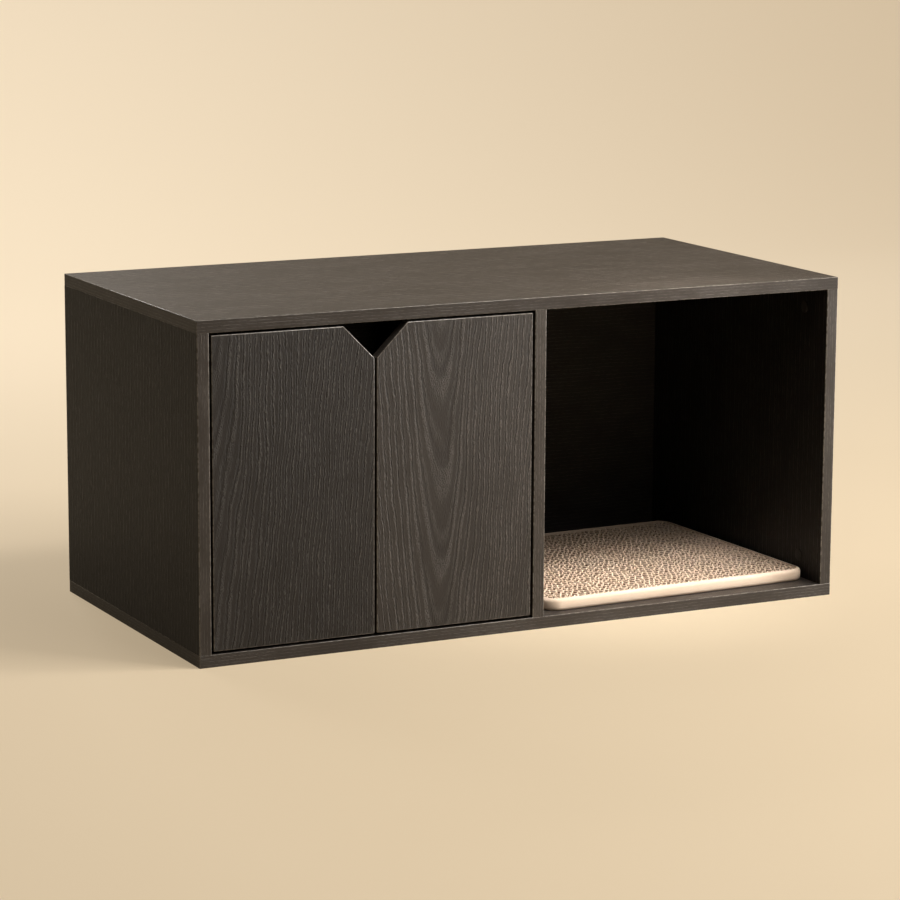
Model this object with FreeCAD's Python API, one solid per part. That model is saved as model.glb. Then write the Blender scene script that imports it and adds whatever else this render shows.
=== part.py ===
import FreeCAD, Part
import math
import os

from FreeCAD import Vector

# A low two-part pet cabinet in wood-grained board. The left half is a closed litter
# compartment behind two inset doors, the right half is an open bay with a scratching pad.
# A rounded hole in the divider lets the cat walk from the bay into the compartment.
#
# Frame: millimetres. X runs to the right along the front, Y runs from the front to the
# back, Z is up. The origin is the middle of the cabinet's footprint, on the surface it
# stands on, so the front edges lie at Y = -CABINET_DEPTH / 2.

# ---- Overall sizes ---------------------------------------------------------------
CABINET_WIDTH = 1040.0
CABINET_DEPTH = 520.0
CABINET_HEIGHT = 490.0

# ---- Boards ----------------------------------------------------------------------
CARCASS_BOARD = 18.0      # top, bottom, sides and divider
DOOR_BOARD = 18.0
BACK_BOARD = 4.0
EDGE_BAND = 1.0           # strip glued on each edge of a board that shows
ARRIS = 0.5               # bevel on the long corners of an edge band
CORNER_CHORDS = 9         # short flats that make up each round corner
DIVIDER_FACE_X = 5.0      # left face of the divider
BACK_INSET = 5.0          # board left behind the groove that holds the back panel
GROOVE_DEPTH = 8.0
BACK_CLEARANCE = 0.5      # play between the back panel's edges and the groove's floor
FIT = 0.05                # radial play of a piece that is pushed into its bore
NEAR = 1e-6               # measures that differ by less than this are the same

# ---- Doors -----------------------------------------------------------------------
DOOR_GAP = 4.0            # round the outside of the pair of doors
DOOR_MIDDLE_GAP = 4.0     # between the two doors
DOOR_RECESS = 1.0         # how far the doors' faces lie behind the front edges
NOTCH_LEG = 48.0          # leg of the 45 degree corner that each door has cut off

# ---- Cat entrance in the divider -------------------------------------------------
ENTRANCE_WIDTH = 220.0
ENTRANCE_HEIGHT = 270.0
ENTRANCE_SILL = 75.0      # above the bottom panel
ENTRANCE_RADIUS = 75.0
ENTRANCE_Y = 40.0         # middle of the hole

# ---- Cam fittings and dowels in the board joints ---------------------------------
JOINT_FROM_EDGE = 62.0    # cam fitting from the front and back edges of a board
DOWEL_PITCH = 32.0        # dowel from its cam fitting
CAM_RADIUS = 7.4
CAM_BEYOND_BOLT = 3.6     # cam beyond the bolt's line, which is the middle of the board
CAM_SETBACK = 34.0        # cam's centre from the end of its board
CAM_PLAY = 0.3            # round the bolt's head and neck inside the cam
CAM_CAP_RADIUS = 9.0
CAM_CAP_THICKNESS = 1.3
BOLT_THREAD_RADIUS = 3.0
BOLT_THREAD_LENGTH = 11.0
BOLT_NECK_RADIUS = 1.8
BOLT_NECK_LEAD = 1.5      # neck that shows before the cam
BOLT_HEAD_RADIUS = 3.2
BOLT_HEAD_LENGTH = 2.6
BOLT_BORE_RADIUS = 4.0
DOWEL_RADIUS = 4.0
DOWEL_LENGTH = 30.0
DOWEL_IN_PANEL = 10.0     # part of the dowel that sits in the top or bottom panel

# ---- Concealed cup hinges --------------------------------------------------------
# Local frame of a hinge: X from the face of the board that carries it into the
# compartment, Y from the front plane inwards, Z up from the hinge's middle.
HINGE_FROM_DOOR_END = 90.0
PIVOT_X = 22.0            # the hinge pin
PIVOT_DEPTH = 7.0         # the pin from the mouth of the cup
PIN_RADIUS = 2.0
PIN_PLAY = 0.06
CUP_RADIUS = 17.4
CUP_BORE_PLAY = 0.1
CUP_DEPTH = 12.0
CUP_WALL = 0.9
CUP_FROM_DOOR_EDGE = 5.0  # wood left between the cup's bore and the door's edge
CUP_FLANGE_RADIUS = 20.0
CUP_FLANGE_THICKNESS = 1.2
CUP_FLANGE_HALF_LENGTH = 31.0
CUP_WING_BACK = 6.0       # wings of the flange, from the cup's middle towards the pin
CUP_WING_FRONT = 7.0      # and beyond the screws
WING_CORNER = 4.0         # bevel on the corners of the cup's and the plate's wings
CUP_SCREW_PITCH = 48.0
CUP_SCREW_OFFSET = 6.0
EYE_RADIUS = 3.6          # barrel at the end of the arm, round the pin
EYE_PLAY = 0.4            # between the barrel's ends and the wall of the cup
ARM_WIDTH = 14.0
ARM_THICKNESS = 2.0
ARM_BEND = 5.0            # radius of the bends, at mid thickness
ARM_FLANGE = 1.2
ARM_OVER_PLATE = 0.1      # play between the arm and the plate's ridge
ARM_DIP = 33.0            # the arm's bends, behind the doors' inner faces
ARM_RISE = 18.0
ARM_NECK_END = 9.0
ARM_NECK_START = 1.6      # behind the pin
ARM_SLOPE = 6.0           # sideways, between the neck and the rise
ARM_SCREWS = (4.0, 20.0)  # adjusting and clamping screw, behind the plate's screws
ARM_FLANGE_LIFT = 0.6     # flanges above the plate's wings
ARM_FLANGE_RAKE = (2.0, 8.0)  # front corner of a flange: up and back
NECK_IN_CUP = 3.5         # between the arm's neck and the far wall of the cup
PLATE_LINE = 37.0         # plate's screw line behind the doors' inner faces
PLATE_RIDGE_HEIGHT = 8.4
PLATE_RIDGE_LENGTH = 46.0
PLATE_RIDGE_BEVEL = 1.5
PLATE_RIDGE_PLAY = 0.2    # between the ridge and the arm's flanges
PLATE_RIDGE_INSET = 1.0   # the ridge's tail from the arm's tail
PLATE_TAIL_SHARE = 0.62   # share of that length behind the plate's screws
PLATE_WING_THICKNESS = 2.5
PLATE_WING_HALF_LENGTH = 23.0
PLATE_WING_WIDTH = 15.0
PLATE_SCREW_PITCH = 32.0

# ---- Magnetic catches ------------------------------------------------------------
CATCH_FROM_MIDDLE = 86.0  # from the line where the doors meet
CATCH_LENGTH = 34.0
CATCH_EAR = 9.0
CATCH_EAR_THICKNESS = 2.4
CATCH_EAR_INSET = 1.5     # ears from the case's front and back
CATCH_EAR_CORNER = 3.0
CATCH_DEPTH = 13.0
CATCH_HEIGHT = 16.0
CATCH_WALL = 1.6
CATCH_GAP = 0.3           # between the pole plates and the strike plate
MAGNET_HEIGHT = 8.0       # with its two pole plates
MAGNET_END_ROOM = 2.0     # case beyond each end of the magnet, besides its wall
POLE_THICKNESS = 1.2
POLE_PROUD = 0.8
STRIKE_LENGTH = 36.0
STRIKE_HEIGHT = 11.0
STRIKE_THICKNESS = 1.2
STRIKE_DROP = 2.5         # strike plate's top edge below the door's top edge
STRIKE_CORNER = 2.0

# ---- Small fasteners ---------------------------------------------------------------
# They and their bores are drawn as straight rods with a few flat sides.
SHANK_SIDES = 6
HEAD_SIDES = 8
CAM_SIDES = 12
CUP_SIDES = 24            # hinge cups and their bores
SCREW_RADIUS = 1.7
SCREW_LENGTH = 13.0
SCREW_HEAD_RADIUS = 3.4
SCREW_HEAD_HEIGHT = 2.2
STRIKE_SCREW_HEAD_HEIGHT = 0.8
PLATE_SCREW_LENGTH = 14.0
ARM_SCREW_LENGTH = 9.0

# ---- Scratching pad --------------------------------------------------------------
PAD_BAY_PLAY = 21.0       # width of the bay that the pad leaves free
PAD_WIDTH = 408.0
PAD_THICKNESS = 18.0
PAD_CORNER = 24.0
PAD_RIM = 6.0
PAD_RIM_BEVEL = 3.0
PAD_CORE_DROP = 0.5       # the fluted surface lies this far below the rim's top
PAD_FRONT_SETBACK = 18.0  # between the bottom panel's front edge and the pad
PAD_SIDE_SPACE = 3.0      # between the pad and the right side panel
PAD_TURN = 2.0            # degrees, anticlockwise from above, as it has been left

# ---- Places that follow from the sizes --------------------------------------------
FRONT_Y = -CABINET_DEPTH / 2
REAR_Y = CABINET_DEPTH / 2
LEFT_X = -CABINET_WIDTH / 2
RIGHT_X = CABINET_WIDTH / 2
FLOOR_Z = CARCASS_BOARD
CEILING_Z = CABINET_HEIGHT - CARCASS_BOARD
INNER_LEFT_X = LEFT_X + CARCASS_BOARD
INNER_RIGHT_X = RIGHT_X - CARCASS_BOARD
BACK_FACE_Y = REAR_Y - BACK_INSET - BACK_BOARD
DIVIDER_RIGHT_X = DIVIDER_FACE_X + CARCASS_BOARD
DOOR_FRONT_Y = FRONT_Y + DOOR_RECESS
DOOR_INNER_Y = DOOR_FRONT_Y + DOOR_BOARD
DOOR_BOTTOM_Z = FLOOR_Z + DOOR_GAP
DOOR_TOP_Z = CEILING_Z - DOOR_GAP
DOOR_MIDDLE_X = (INNER_LEFT_X + DIVIDER_FACE_X) / 2
HINGE_HEIGHTS = (DOOR_BOTTOM_Z + HINGE_FROM_DOOR_END, DOOR_TOP_Z - HINGE_FROM_DOOR_END)
CUP_X = DOOR_GAP + CUP_FROM_DOOR_EDGE + CUP_RADIUS + CUP_BORE_PLAY
CUP_MOUTH_Y = DOOR_RECESS + DOOR_BOARD
PLATE_Y = CUP_MOUTH_Y + PLATE_LINE
ARM_TAIL_Y = PLATE_Y + PLATE_RIDGE_LENGTH * PLATE_TAIL_SHARE
PIVOT_Y = CUP_MOUTH_Y - PIVOT_DEPTH
NECK_REACH = CUP_X + CUP_RADIUS - CUP_WALL - NECK_IN_CUP - ARM_THICKNESS / 2 - PIVOT_X
CAM_LENGTH = CARCASS_BOARD / 2 + CAM_BEYOND_BOLT
PAD_LENGTH = INNER_RIGHT_X - DIVIDER_RIGHT_X - PAD_BAY_PLAY
ACROSS = Vector(1, 0, 0)
INWARD = Vector(0, 1, 0)
UP = Vector(0, 0, 1)


# ---- Helpers -----------------------------------------------------------------------
def box(x0, x1, y0, y1, z0, z1):
    """A box between two corners."""
    return Part.makeBox(x1 - x0, y1 - y0, z1 - z0, Vector(x0, y0, z0))


def bar(centre, direction, radius, length):
    """A cylinder centred on a point."""
    start = centre - Vector(direction).multiply(length / 2)
    return Part.makeCylinder(radius, length, start, direction)


def flat_sided(base, direction, radius, length, sides=SHANK_SIDES):
    """A rod with flat sides that starts at base and runs along direction."""
    turns = [2 * math.pi * side / sides for side in range(sides)]
    corners = [Vector(radius * math.cos(turn), radius * math.sin(turn), 0) for turn in turns]
    solid = prism(corners, Vector(0, 0, length))
    solid.Placement = FreeCAD.Placement(base, FreeCAD.Rotation(UP, direction))
    return solid


def prism(points, sweep):
    """A flat outline pushed along a vector."""
    return Part.Face(Part.makePolygon(list(points) + [points[0]])).extrude(sweep)


def fused(shapes):
    """One solid from several that touch or overlap."""
    whole = shapes[0]
    for shape in shapes[1:]:
        whole = whole.fuse(shape)
    return whole.removeSplitter()


def edges_of_length(shape, length):
    """The edges of a solid that have one length, such as the corners of a thin plate."""
    return [edge for edge in shape.Edges if abs(edge.Length - length) < NEAR]


def cut_all(shape, tools):
    """A solid with every tool taken out of it."""
    if not tools:
        return shape
    return shape.cut(Part.makeCompound(tools))


def rounded_slab(length, width, radius, z0, z1):
    """A slab in plan, centred on the origin, with round corners."""
    points = []
    for quarter, (side_x, side_y) in enumerate(((1, 1), (-1, 1), (-1, -1), (1, -1))):
        centre = Vector(side_x * (length / 2 - radius), side_y * (width / 2 - radius), z0)
        for chord in range(CORNER_CHORDS + 1):
            turn = math.radians(90 * (quarter + chord / CORNER_CHORDS))
            points.append(centre + Vector(math.cos(turn), math.sin(turn), 0).multiply(radius))
    return prism(points, Vector(0, 0, z1 - z0))


def edge_strip(outer_a, outer_b, inner_b, inner_a, sweep):
    """One edge band with mitred or square ends and two bevelled long corners."""
    strip = prism((outer_a, outer_b, inner_b, inner_a), sweep)
    outer_length = outer_a.distanceToPoint(outer_b)
    long_corners = []
    for edge in strip.Edges:
        ends = [vertex.Point for vertex in edge.Vertexes]
        is_long = abs(edge.Length - outer_length) < NEAR
        offsets = [end.distanceToLine(outer_a, outer_b - outer_a) for end in ends]
        far_offsets = [end.distanceToLine(outer_a + sweep, outer_b - outer_a) for end in ends]
        if is_long and (max(offsets) < NEAR or max(far_offsets) < NEAR):
            long_corners.append(edge)
    return strip.makeChamfer(ARRIS, long_corners)


def screw(base, direction, length, head_height=SCREW_HEAD_HEIGHT):
    """A wood screw whose head's underside is at base. It points along direction."""
    top = base - Vector(direction).multiply(head_height)
    head = flat_sided(top, direction, SCREW_HEAD_RADIUS, head_height, HEAD_SIDES)
    return head.fuse(flat_sided(base, direction, SCREW_RADIUS, length))


def screw_hole(base, direction, length, radius=SCREW_RADIUS):
    """The bore that a screw fills."""
    return flat_sided(base, direction, radius + FIT, length)


# ---- Board joints: cam fitting, bolt and dowel ---------------------------------------
def board_joints():
    """Where each upright board meets the top and bottom panels.

    Each entry is (board, face X, X direction into the board, end Z, Z direction out of
    the board's end, Y of the cam fitting, Y of its dowel)."""
    uprights = (("left_side", INNER_LEFT_X, -1), ("right_side", INNER_RIGHT_X, 1),
                ("divider", DIVIDER_FACE_X, 1))
    rows = ((FRONT_Y + JOINT_FROM_EDGE, DOWEL_PITCH), (REAR_Y - JOINT_FROM_EDGE, -DOWEL_PITCH))
    joints = []
    for board, face_x, into in uprights:
        for end_z, out in ((FLOOR_Z, -1), (CEILING_Z, 1)):
            for y, dowel_step in rows:
                joints.append((board, face_x, into, end_z, out, y, y + dowel_step))
    return joints


def middle_of_board(face_x, into):
    """X of a board's middle plane."""
    return face_x + into * CARCASS_BOARD / 2


def cam_centre(joint):
    """The middle of a cam fitting, on its board's middle plane."""
    _, face_x, into, end_z, out, y, _ = joint
    return Vector(middle_of_board(face_x, into), y, end_z - out * CAM_SETBACK)


def cam_housing(joint):
    """The round cam: a room for the bolt's head and a slot for its neck."""
    _, face_x, into, _, out, y, _ = joint
    centre = cam_centre(joint)
    start = Vector(face_x, y, centre.z)
    body = flat_sided(start, Vector(into, 0, 0), CAM_RADIUS, CAM_LENGTH, CAM_SIDES)
    head_half = BOLT_HEAD_RADIUS + CAM_PLAY
    head_height = BOLT_HEAD_LENGTH / 2 + CAM_PLAY
    neck_half = BOLT_NECK_RADIUS + CAM_PLAY
    near_x, far_x = centre.x - into * head_half, face_x + into * (CAM_LENGTH + 1)
    slot_x = centre.x - into * neck_half
    slot_end = centre.z + out * (CAM_RADIUS + 1)
    room = box(min(near_x, far_x), max(near_x, far_x), y - head_half, y + head_half,
               centre.z - head_height, centre.z + head_height)
    slot = box(min(slot_x, far_x), max(slot_x, far_x), y - neck_half, y + neck_half,
               min(centre.z, slot_end), max(centre.z, slot_end))
    return body.cut(room.fuse(slot))


def cam_cap(joint):
    """The thin cap over a cam."""
    _, face_x, into, _, _, y, _ = joint
    start = Vector(face_x, y, cam_centre(joint).z)
    return flat_sided(start, Vector(-into, 0, 0), CAM_CAP_RADIUS, CAM_CAP_THICKNESS, CAM_SIDES)


def cam_bolt(joint):
    """The bolt: threaded into the top or bottom panel, its head held inside the cam."""
    _, face_x, into, end_z, out, y, _ = joint
    reach = CAM_SETBACK + BOLT_HEAD_LENGTH / 2
    neck_top = reach - BOLT_HEAD_LENGTH
    neck_start = CAM_SETBACK - CAM_RADIUS - BOLT_NECK_LEAD
    x = middle_of_board(face_x, into)
    parts = []
    for start, end, radius in ((-BOLT_THREAD_LENGTH, neck_start, BOLT_THREAD_RADIUS),
                               (neck_start, neck_top, BOLT_NECK_RADIUS),
                               (neck_top, reach, BOLT_HEAD_RADIUS)):
        base = Vector(x, y, end_z - out * start)
        parts.append(flat_sided(base, Vector(0, 0, -out), radius, end - start))
    return parts[0].fuse(parts[1]).fuse(parts[2])


def dowel(joint):
    """The plain envelope of the fluted dowel beside a cam bolt."""
    _, face_x, into, end_z, out, _, y = joint
    base = Vector(middle_of_board(face_x, into), y, end_z + out * DOWEL_IN_PANEL)
    return flat_sided(base, Vector(0, 0, -out), DOWEL_RADIUS, DOWEL_LENGTH, HEAD_SIDES)


def bores_in_upright(board):
    """Cam, bolt and dowel bores of one upright board."""
    bores = []
    for joint in board_joints():
        if joint[0] != board:
            continue
        _, face_x, into, end_z, out, y, dowel_y = joint
        middle_x = middle_of_board(face_x, into)
        down = Vector(0, 0, -out)
        start = Vector(face_x, y, cam_centre(joint).z)
        bores.append(flat_sided(start, Vector(into, 0, 0), CAM_RADIUS + FIT,
                                CAM_LENGTH + FIT, CAM_SIDES))
        bores.append(flat_sided(Vector(middle_x, y, end_z), down, BOLT_BORE_RADIUS,
                                CAM_SETBACK))
        bores.append(flat_sided(Vector(middle_x, dowel_y, end_z), down, DOWEL_RADIUS + FIT,
                                DOWEL_LENGTH - DOWEL_IN_PANEL + 1, HEAD_SIDES))
    return bores


def bores_in_panel(end_z):
    """Bolt and dowel bores of the top or the bottom panel."""
    bores = []
    for joint in board_joints():
        if joint[3] != end_z:
            continue
        _, face_x, into, _, out, y, dowel_y = joint
        middle_x = middle_of_board(face_x, into)
        outward = Vector(0, 0, out)
        bores.append(flat_sided(Vector(middle_x, y, end_z), outward,
                                BOLT_THREAD_RADIUS + FIT, BOLT_THREAD_LENGTH + 1))
        bores.append(flat_sided(Vector(middle_x, dowel_y, end_z), outward,
                                DOWEL_RADIUS + FIT, DOWEL_IN_PANEL + 1, HEAD_SIDES))
    return bores


# ---- Back panel ------------------------------------------------------------------------
def back_panel():
    """The thin back, held in a groove that runs round the carcass near its rear edges."""
    reach = GROOVE_DEPTH - BACK_CLEARANCE
    return box(INNER_LEFT_X - reach, INNER_RIGHT_X + reach, BACK_FACE_Y,
               BACK_FACE_Y + BACK_BOARD, FLOOR_Z - reach, CEILING_Z + reach)


def back_groove():
    """The space round the back panel that is cut out of the boards."""
    return box(INNER_LEFT_X - GROOVE_DEPTH, INNER_RIGHT_X + GROOVE_DEPTH, BACK_FACE_Y,
               BACK_FACE_Y + BACK_BOARD, FLOOR_Z - GROOVE_DEPTH, CEILING_Z + GROOVE_DEPTH)


# ---- Carcass boards and their edge bands -----------------------------------------------
def lying_panel(z0, z1, end_z):
    """The top or the bottom panel, without its edge bands."""
    board = box(LEFT_X + EDGE_BAND, RIGHT_X - EDGE_BAND, FRONT_Y + EDGE_BAND, REAR_Y, z0, z1)
    return cut_all(board, [back_groove()] + bores_in_panel(end_z))


def lying_panel_bands(z0, z1):
    """Edge bands on the front edge and on both ends of the top or the bottom panel."""
    sweep = Vector(0, 0, z1 - z0)
    inner_left, inner_right = LEFT_X + EDGE_BAND, RIGHT_X - EDGE_BAND
    inner_front = FRONT_Y + EDGE_BAND
    front = edge_strip(Vector(LEFT_X, FRONT_Y, z0), Vector(RIGHT_X, FRONT_Y, z0),
                       Vector(inner_right, inner_front, z0),
                       Vector(inner_left, inner_front, z0), sweep)
    left = edge_strip(Vector(LEFT_X, REAR_Y, z0), Vector(LEFT_X, FRONT_Y, z0),
                      Vector(inner_left, inner_front, z0), Vector(inner_left, REAR_Y, z0), sweep)
    right = edge_strip(Vector(RIGHT_X, FRONT_Y, z0), Vector(RIGHT_X, REAR_Y, z0),
                       Vector(inner_right, REAR_Y, z0),
                       Vector(inner_right, inner_front, z0), sweep)
    return [front, left, right]


def upright_band(x0, x1):
    """The edge band on the front edge of an upright board."""
    return edge_strip(Vector(x0, FRONT_Y, FLOOR_Z), Vector(x0, FRONT_Y, CEILING_Z),
                      Vector(x0, FRONT_Y + EDGE_BAND, CEILING_Z),
                      Vector(x0, FRONT_Y + EDGE_BAND, FLOOR_Z), Vector(x1 - x0, 0, 0))


def side_panel(x0, x1, board, screw_holes):
    """A side panel, grooved for the back and bored for its fittings."""
    blank = box(x0, x1, FRONT_Y + EDGE_BAND, REAR_Y, FLOOR_Z, CEILING_Z)
    tools = [back_groove()] + bores_in_upright(board) + screw_holes
    return cut_all(blank, tools)


def entrance_plug(grow):
    """The space of the cat entrance, through the divider; grow widens it all round."""
    length = ENTRANCE_HEIGHT + 2 * grow
    width = ENTRANCE_WIDTH + 2 * grow
    slab = rounded_slab(length, width, ENTRANCE_RADIUS + grow, 0, CARCASS_BOARD)
    middle_z = FLOOR_Z + ENTRANCE_SILL + ENTRANCE_HEIGHT / 2
    slab.Placement = FreeCAD.Placement(Vector(DIVIDER_RIGHT_X, ENTRANCE_Y, middle_z),
                                       FreeCAD.Rotation(INWARD, -90))
    return slab


def entrance_band():
    """The edge band that lines the cat entrance, bevelled on both faces."""
    ring = entrance_plug(0).cut(entrance_plug(-EDGE_BAND))
    inside = entrance_plug(-EDGE_BAND)
    inner = [edge for edge in ring.Edges
             if edge.BoundBox.XLength < NEAR and lies_on(inside, edge)]
    return ring.makeChamfer(ARRIS, inner)


def lies_on(solid, edge):
    """True where the middle of an edge lies on a solid's surface or inside it."""
    middle = edge.valueAt((edge.FirstParameter + edge.LastParameter) / 2)
    return Part.Vertex(middle).distToShape(solid)[0] < EDGE_BAND / 2


def divider_panel(screw_holes):
    """The divider with its cat entrance. It stops at the face of the back panel."""
    blank = box(DIVIDER_FACE_X, DIVIDER_RIGHT_X, FRONT_Y + EDGE_BAND, BACK_FACE_Y,
                FLOOR_Z, CEILING_Z)
    tools = [entrance_plug(0)] + bores_in_upright("divider") + screw_holes
    return cut_all(blank, tools)


# ---- Doors ---------------------------------------------------------------------------
def door_outline(inset):
    """Corners of the left door as seen from the front, moved in by inset all round.

    They run from the hinge side's foot to the right: foot, free edge, notch and top."""
    left = INNER_LEFT_X + DOOR_GAP + inset
    right = DOOR_MIDDLE_X - DOOR_MIDDLE_GAP / 2 - inset
    bottom = DOOR_BOTTOM_Z + inset
    top = DOOR_TOP_Z - inset
    leg = NOTCH_LEG - inset * (2 - math.sqrt(2))
    return ((left, bottom), (right, bottom), (right, top - leg), (right - leg, top), (left, top))


def door_points(inset, y):
    """The door's corners as points at depth y."""
    return [Vector(x, y, z) for x, z in door_outline(inset)]


def mirrored(shape):
    """The right door's copy of a piece of the left door."""
    return shape.mirror(Vector(DOOR_MIDDLE_X, 0, 0), ACROSS)


def door_panel():
    """The left door's board, bored for its hinge cups and screws."""
    board = prism(door_points(EDGE_BAND, DOOR_FRONT_Y), Vector(0, DOOR_BOARD, 0))
    tools = [strike_screw_hole()]
    for z in HINGE_HEIGHTS:
        bore = flat_sided(Vector(CUP_X, CUP_MOUTH_Y, 0), Vector(0, -1, 0),
                          CUP_RADIUS + CUP_BORE_PLAY, CUP_DEPTH + FIT, CUP_SIDES)
        tools.append(hinge_place(bore, z))
        for screw_z in (-CUP_SCREW_PITCH / 2, CUP_SCREW_PITCH / 2):
            start = Vector(CUP_X + CUP_SCREW_OFFSET, CUP_MOUTH_Y, screw_z)
            hole = screw_hole(start, Vector(0, -1, 0), SCREW_LENGTH - CUP_FLANGE_THICKNESS + 1)
            tools.append(hinge_place(hole, z))
    return cut_all(board, tools)


def door_bands():
    """Edge bands on all five edges of the left door."""
    outer = door_points(0, DOOR_FRONT_Y)
    inner = door_points(EDGE_BAND, DOOR_FRONT_Y)
    sweep = Vector(0, DOOR_BOARD, 0)
    bands = []
    for index in range(len(outer)):
        following = (index + 1) % len(outer)
        bands.append(edge_strip(outer[index], outer[following], inner[following],
                                inner[index], sweep))
    return bands


# ---- Hinges --------------------------------------------------------------------------
def hinge_place(shape, z):
    """Moves a piece from the hinge's frame to the left side panel at height z."""
    placed = shape.copy()
    placed.translate(Vector(INNER_LEFT_X, FRONT_Y, z))
    return placed


def hinge_cup():
    """The cup: a thin round pot with a winged flange that is screwed to the door."""
    floor_y = CUP_MOUTH_Y - CUP_DEPTH
    out = Vector(0, 1, 0)
    hollow_depth = CUP_DEPTH + CUP_FLANGE_THICKNESS
    pot = flat_sided(Vector(CUP_X, floor_y, 0), out, CUP_RADIUS, CUP_DEPTH, CUP_SIDES)
    disc = flat_sided(Vector(CUP_X, CUP_MOUTH_Y, 0), out, CUP_FLANGE_RADIUS,
                      CUP_FLANGE_THICKNESS, CUP_SIDES)
    wing = box(CUP_X - CUP_WING_BACK, CUP_X + CUP_SCREW_OFFSET + CUP_WING_FRONT, CUP_MOUTH_Y,
               CUP_MOUTH_Y + CUP_FLANGE_THICKNESS, -CUP_FLANGE_HALF_LENGTH,
               CUP_FLANGE_HALF_LENGTH)
    corners = edges_of_length(wing, CUP_FLANGE_THICKNESS)
    body = fused([pot, disc, wing.makeChamfer(WING_CORNER, corners)])
    hollow = flat_sided(Vector(CUP_X, floor_y + CUP_WALL, 0), out, CUP_RADIUS - CUP_WALL,
                        hollow_depth, CUP_SIDES)
    tools = [hollow]
    for z in (-CUP_SCREW_PITCH / 2, CUP_SCREW_PITCH / 2):
        start = Vector(CUP_X + CUP_SCREW_OFFSET, CUP_MOUTH_Y, z)
        tools.append(screw_hole(start, out, 2 * CUP_FLANGE_THICKNESS))
    return cut_all(body, tools)


def room_in_cup(half_width):
    """Half the length of a bar on the pin's line, of that half width, that fits the cup."""
    furthest = CUP_X - PIVOT_X + half_width
    inner_radius = (CUP_RADIUS - CUP_WALL) * math.cos(math.pi / CUP_SIDES)
    return math.sqrt(inner_radius ** 2 - furthest ** 2)


def hinge_pin():
    """The pin across the cup, on which the arm's barrel turns."""
    return bar(Vector(PIVOT_X, PIVOT_Y, 0), UP, PIN_RADIUS, 2 * room_in_cup(PIN_RADIUS))


def arm_line():
    """The corners of the arm's bent line, from the plate to the eye.

    The neck leaves the cup beyond the pin and comes back round the edge of the open
    door, so that the door can turn without touching it."""
    base_x = PLATE_RIDGE_HEIGHT + ARM_THICKNESS / 2 + ARM_OVER_PLATE
    neck_x = PIVOT_X + NECK_REACH
    return (Vector(base_x, ARM_TAIL_Y, 0), Vector(base_x, CUP_MOUTH_Y + ARM_DIP, 0),
            Vector(neck_x - ARM_SLOPE, CUP_MOUTH_Y + ARM_RISE, 0),
            Vector(neck_x, CUP_MOUTH_Y + ARM_NECK_END, 0),
            Vector(neck_x, PIVOT_Y + ARM_NECK_START, 0), Vector(PIVOT_X, PIVOT_Y, 0))


def softened(corners, bend):
    """A bent line with each inner corner replaced by three points of its bend."""
    points = [corners[0]]
    for before, corner, after in zip(corners, corners[1:], corners[2:]):
        to_before = (before - corner).normalize()
        to_after = (after - corner).normalize()
        inward = (to_before + to_after).normalize()
        half_angle = to_before.getAngle(to_after) / 2
        run = bend / math.tan(half_angle)
        depth = bend / math.sin(half_angle) - bend
        points += [corner + to_before.multiply(run), corner + inward.multiply(depth),
                   corner + to_after.multiply(run)]
    return points + [corners[-1]]


def beside_line(points, offset):
    """A bent line in the XY plane moved to its left by offset, with mitred corners."""
    steps = [(after - point).normalize() for point, after in zip(points, points[1:])]
    normals = [Vector(-step.y, step.x, 0) for step in steps]
    moved = []
    for point, before, after in zip(points, normals[:1] + normals, normals + normals[-1:]):
        mitre = (before + after).normalize()
        moved.append(point + mitre.multiply(offset / mitre.dot(before)))
    return moved


def bent_strip(corners, bend, thickness, width):
    """A flat strip bent along a line in the XY plane, centred on Z = 0."""
    line = softened(corners, bend)
    outline = beside_line(line, thickness / 2) + beside_line(line, -thickness / 2)[::-1]
    strip = prism(outline, Vector(0, 0, width))
    strip.translate(Vector(0, 0, -width / 2))
    return strip


def arm_screw_places():
    """Y of the adjusting screw and of the clamping screw of an arm."""
    return [PLATE_Y + behind for behind in ARM_SCREWS]


def hinge_arm():
    """The arm: a gooseneck with a barrel round the pin and two flanges over the plate."""
    line = arm_line()
    strip = bent_strip(line, ARM_BEND, ARM_THICKNESS, ARM_WIDTH)
    eye_length = 2 * (room_in_cup(EYE_RADIUS) - EYE_PLAY)
    eye = flat_sided(Vector(PIVOT_X, PIVOT_Y, -eye_length / 2), UP, EYE_RADIUS,
                     eye_length, CAM_SIDES)
    half = ARM_WIDTH / 2
    base_x = line[0].x
    front_y = line[1].y + ARM_BEND
    flange_foot = PLATE_WING_THICKNESS + ARM_FLANGE_LIFT
    rake_up, rake_back = ARM_FLANGE_RAKE
    pieces = [strip, eye]
    for z0 in (-half, half - ARM_FLANGE):
        outline = (Vector(flange_foot + rake_up, front_y, z0), Vector(base_x, front_y - 1, z0),
                   Vector(base_x, line[0].y, z0), Vector(flange_foot, line[0].y, z0),
                   Vector(flange_foot, front_y + rake_back, z0))
        pieces.append(prism(outline, Vector(0, 0, ARM_FLANGE)))
    body = fused(pieces)
    tools = [bar(Vector(PIVOT_X, PIVOT_Y, 0), UP, PIN_RADIUS + PIN_PLAY, 2 * eye_length)]
    for y in arm_screw_places():
        tools.append(screw_hole(Vector(0, y, 0), ACROSS, 2 * base_x))
    return cut_all(body, tools)


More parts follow.
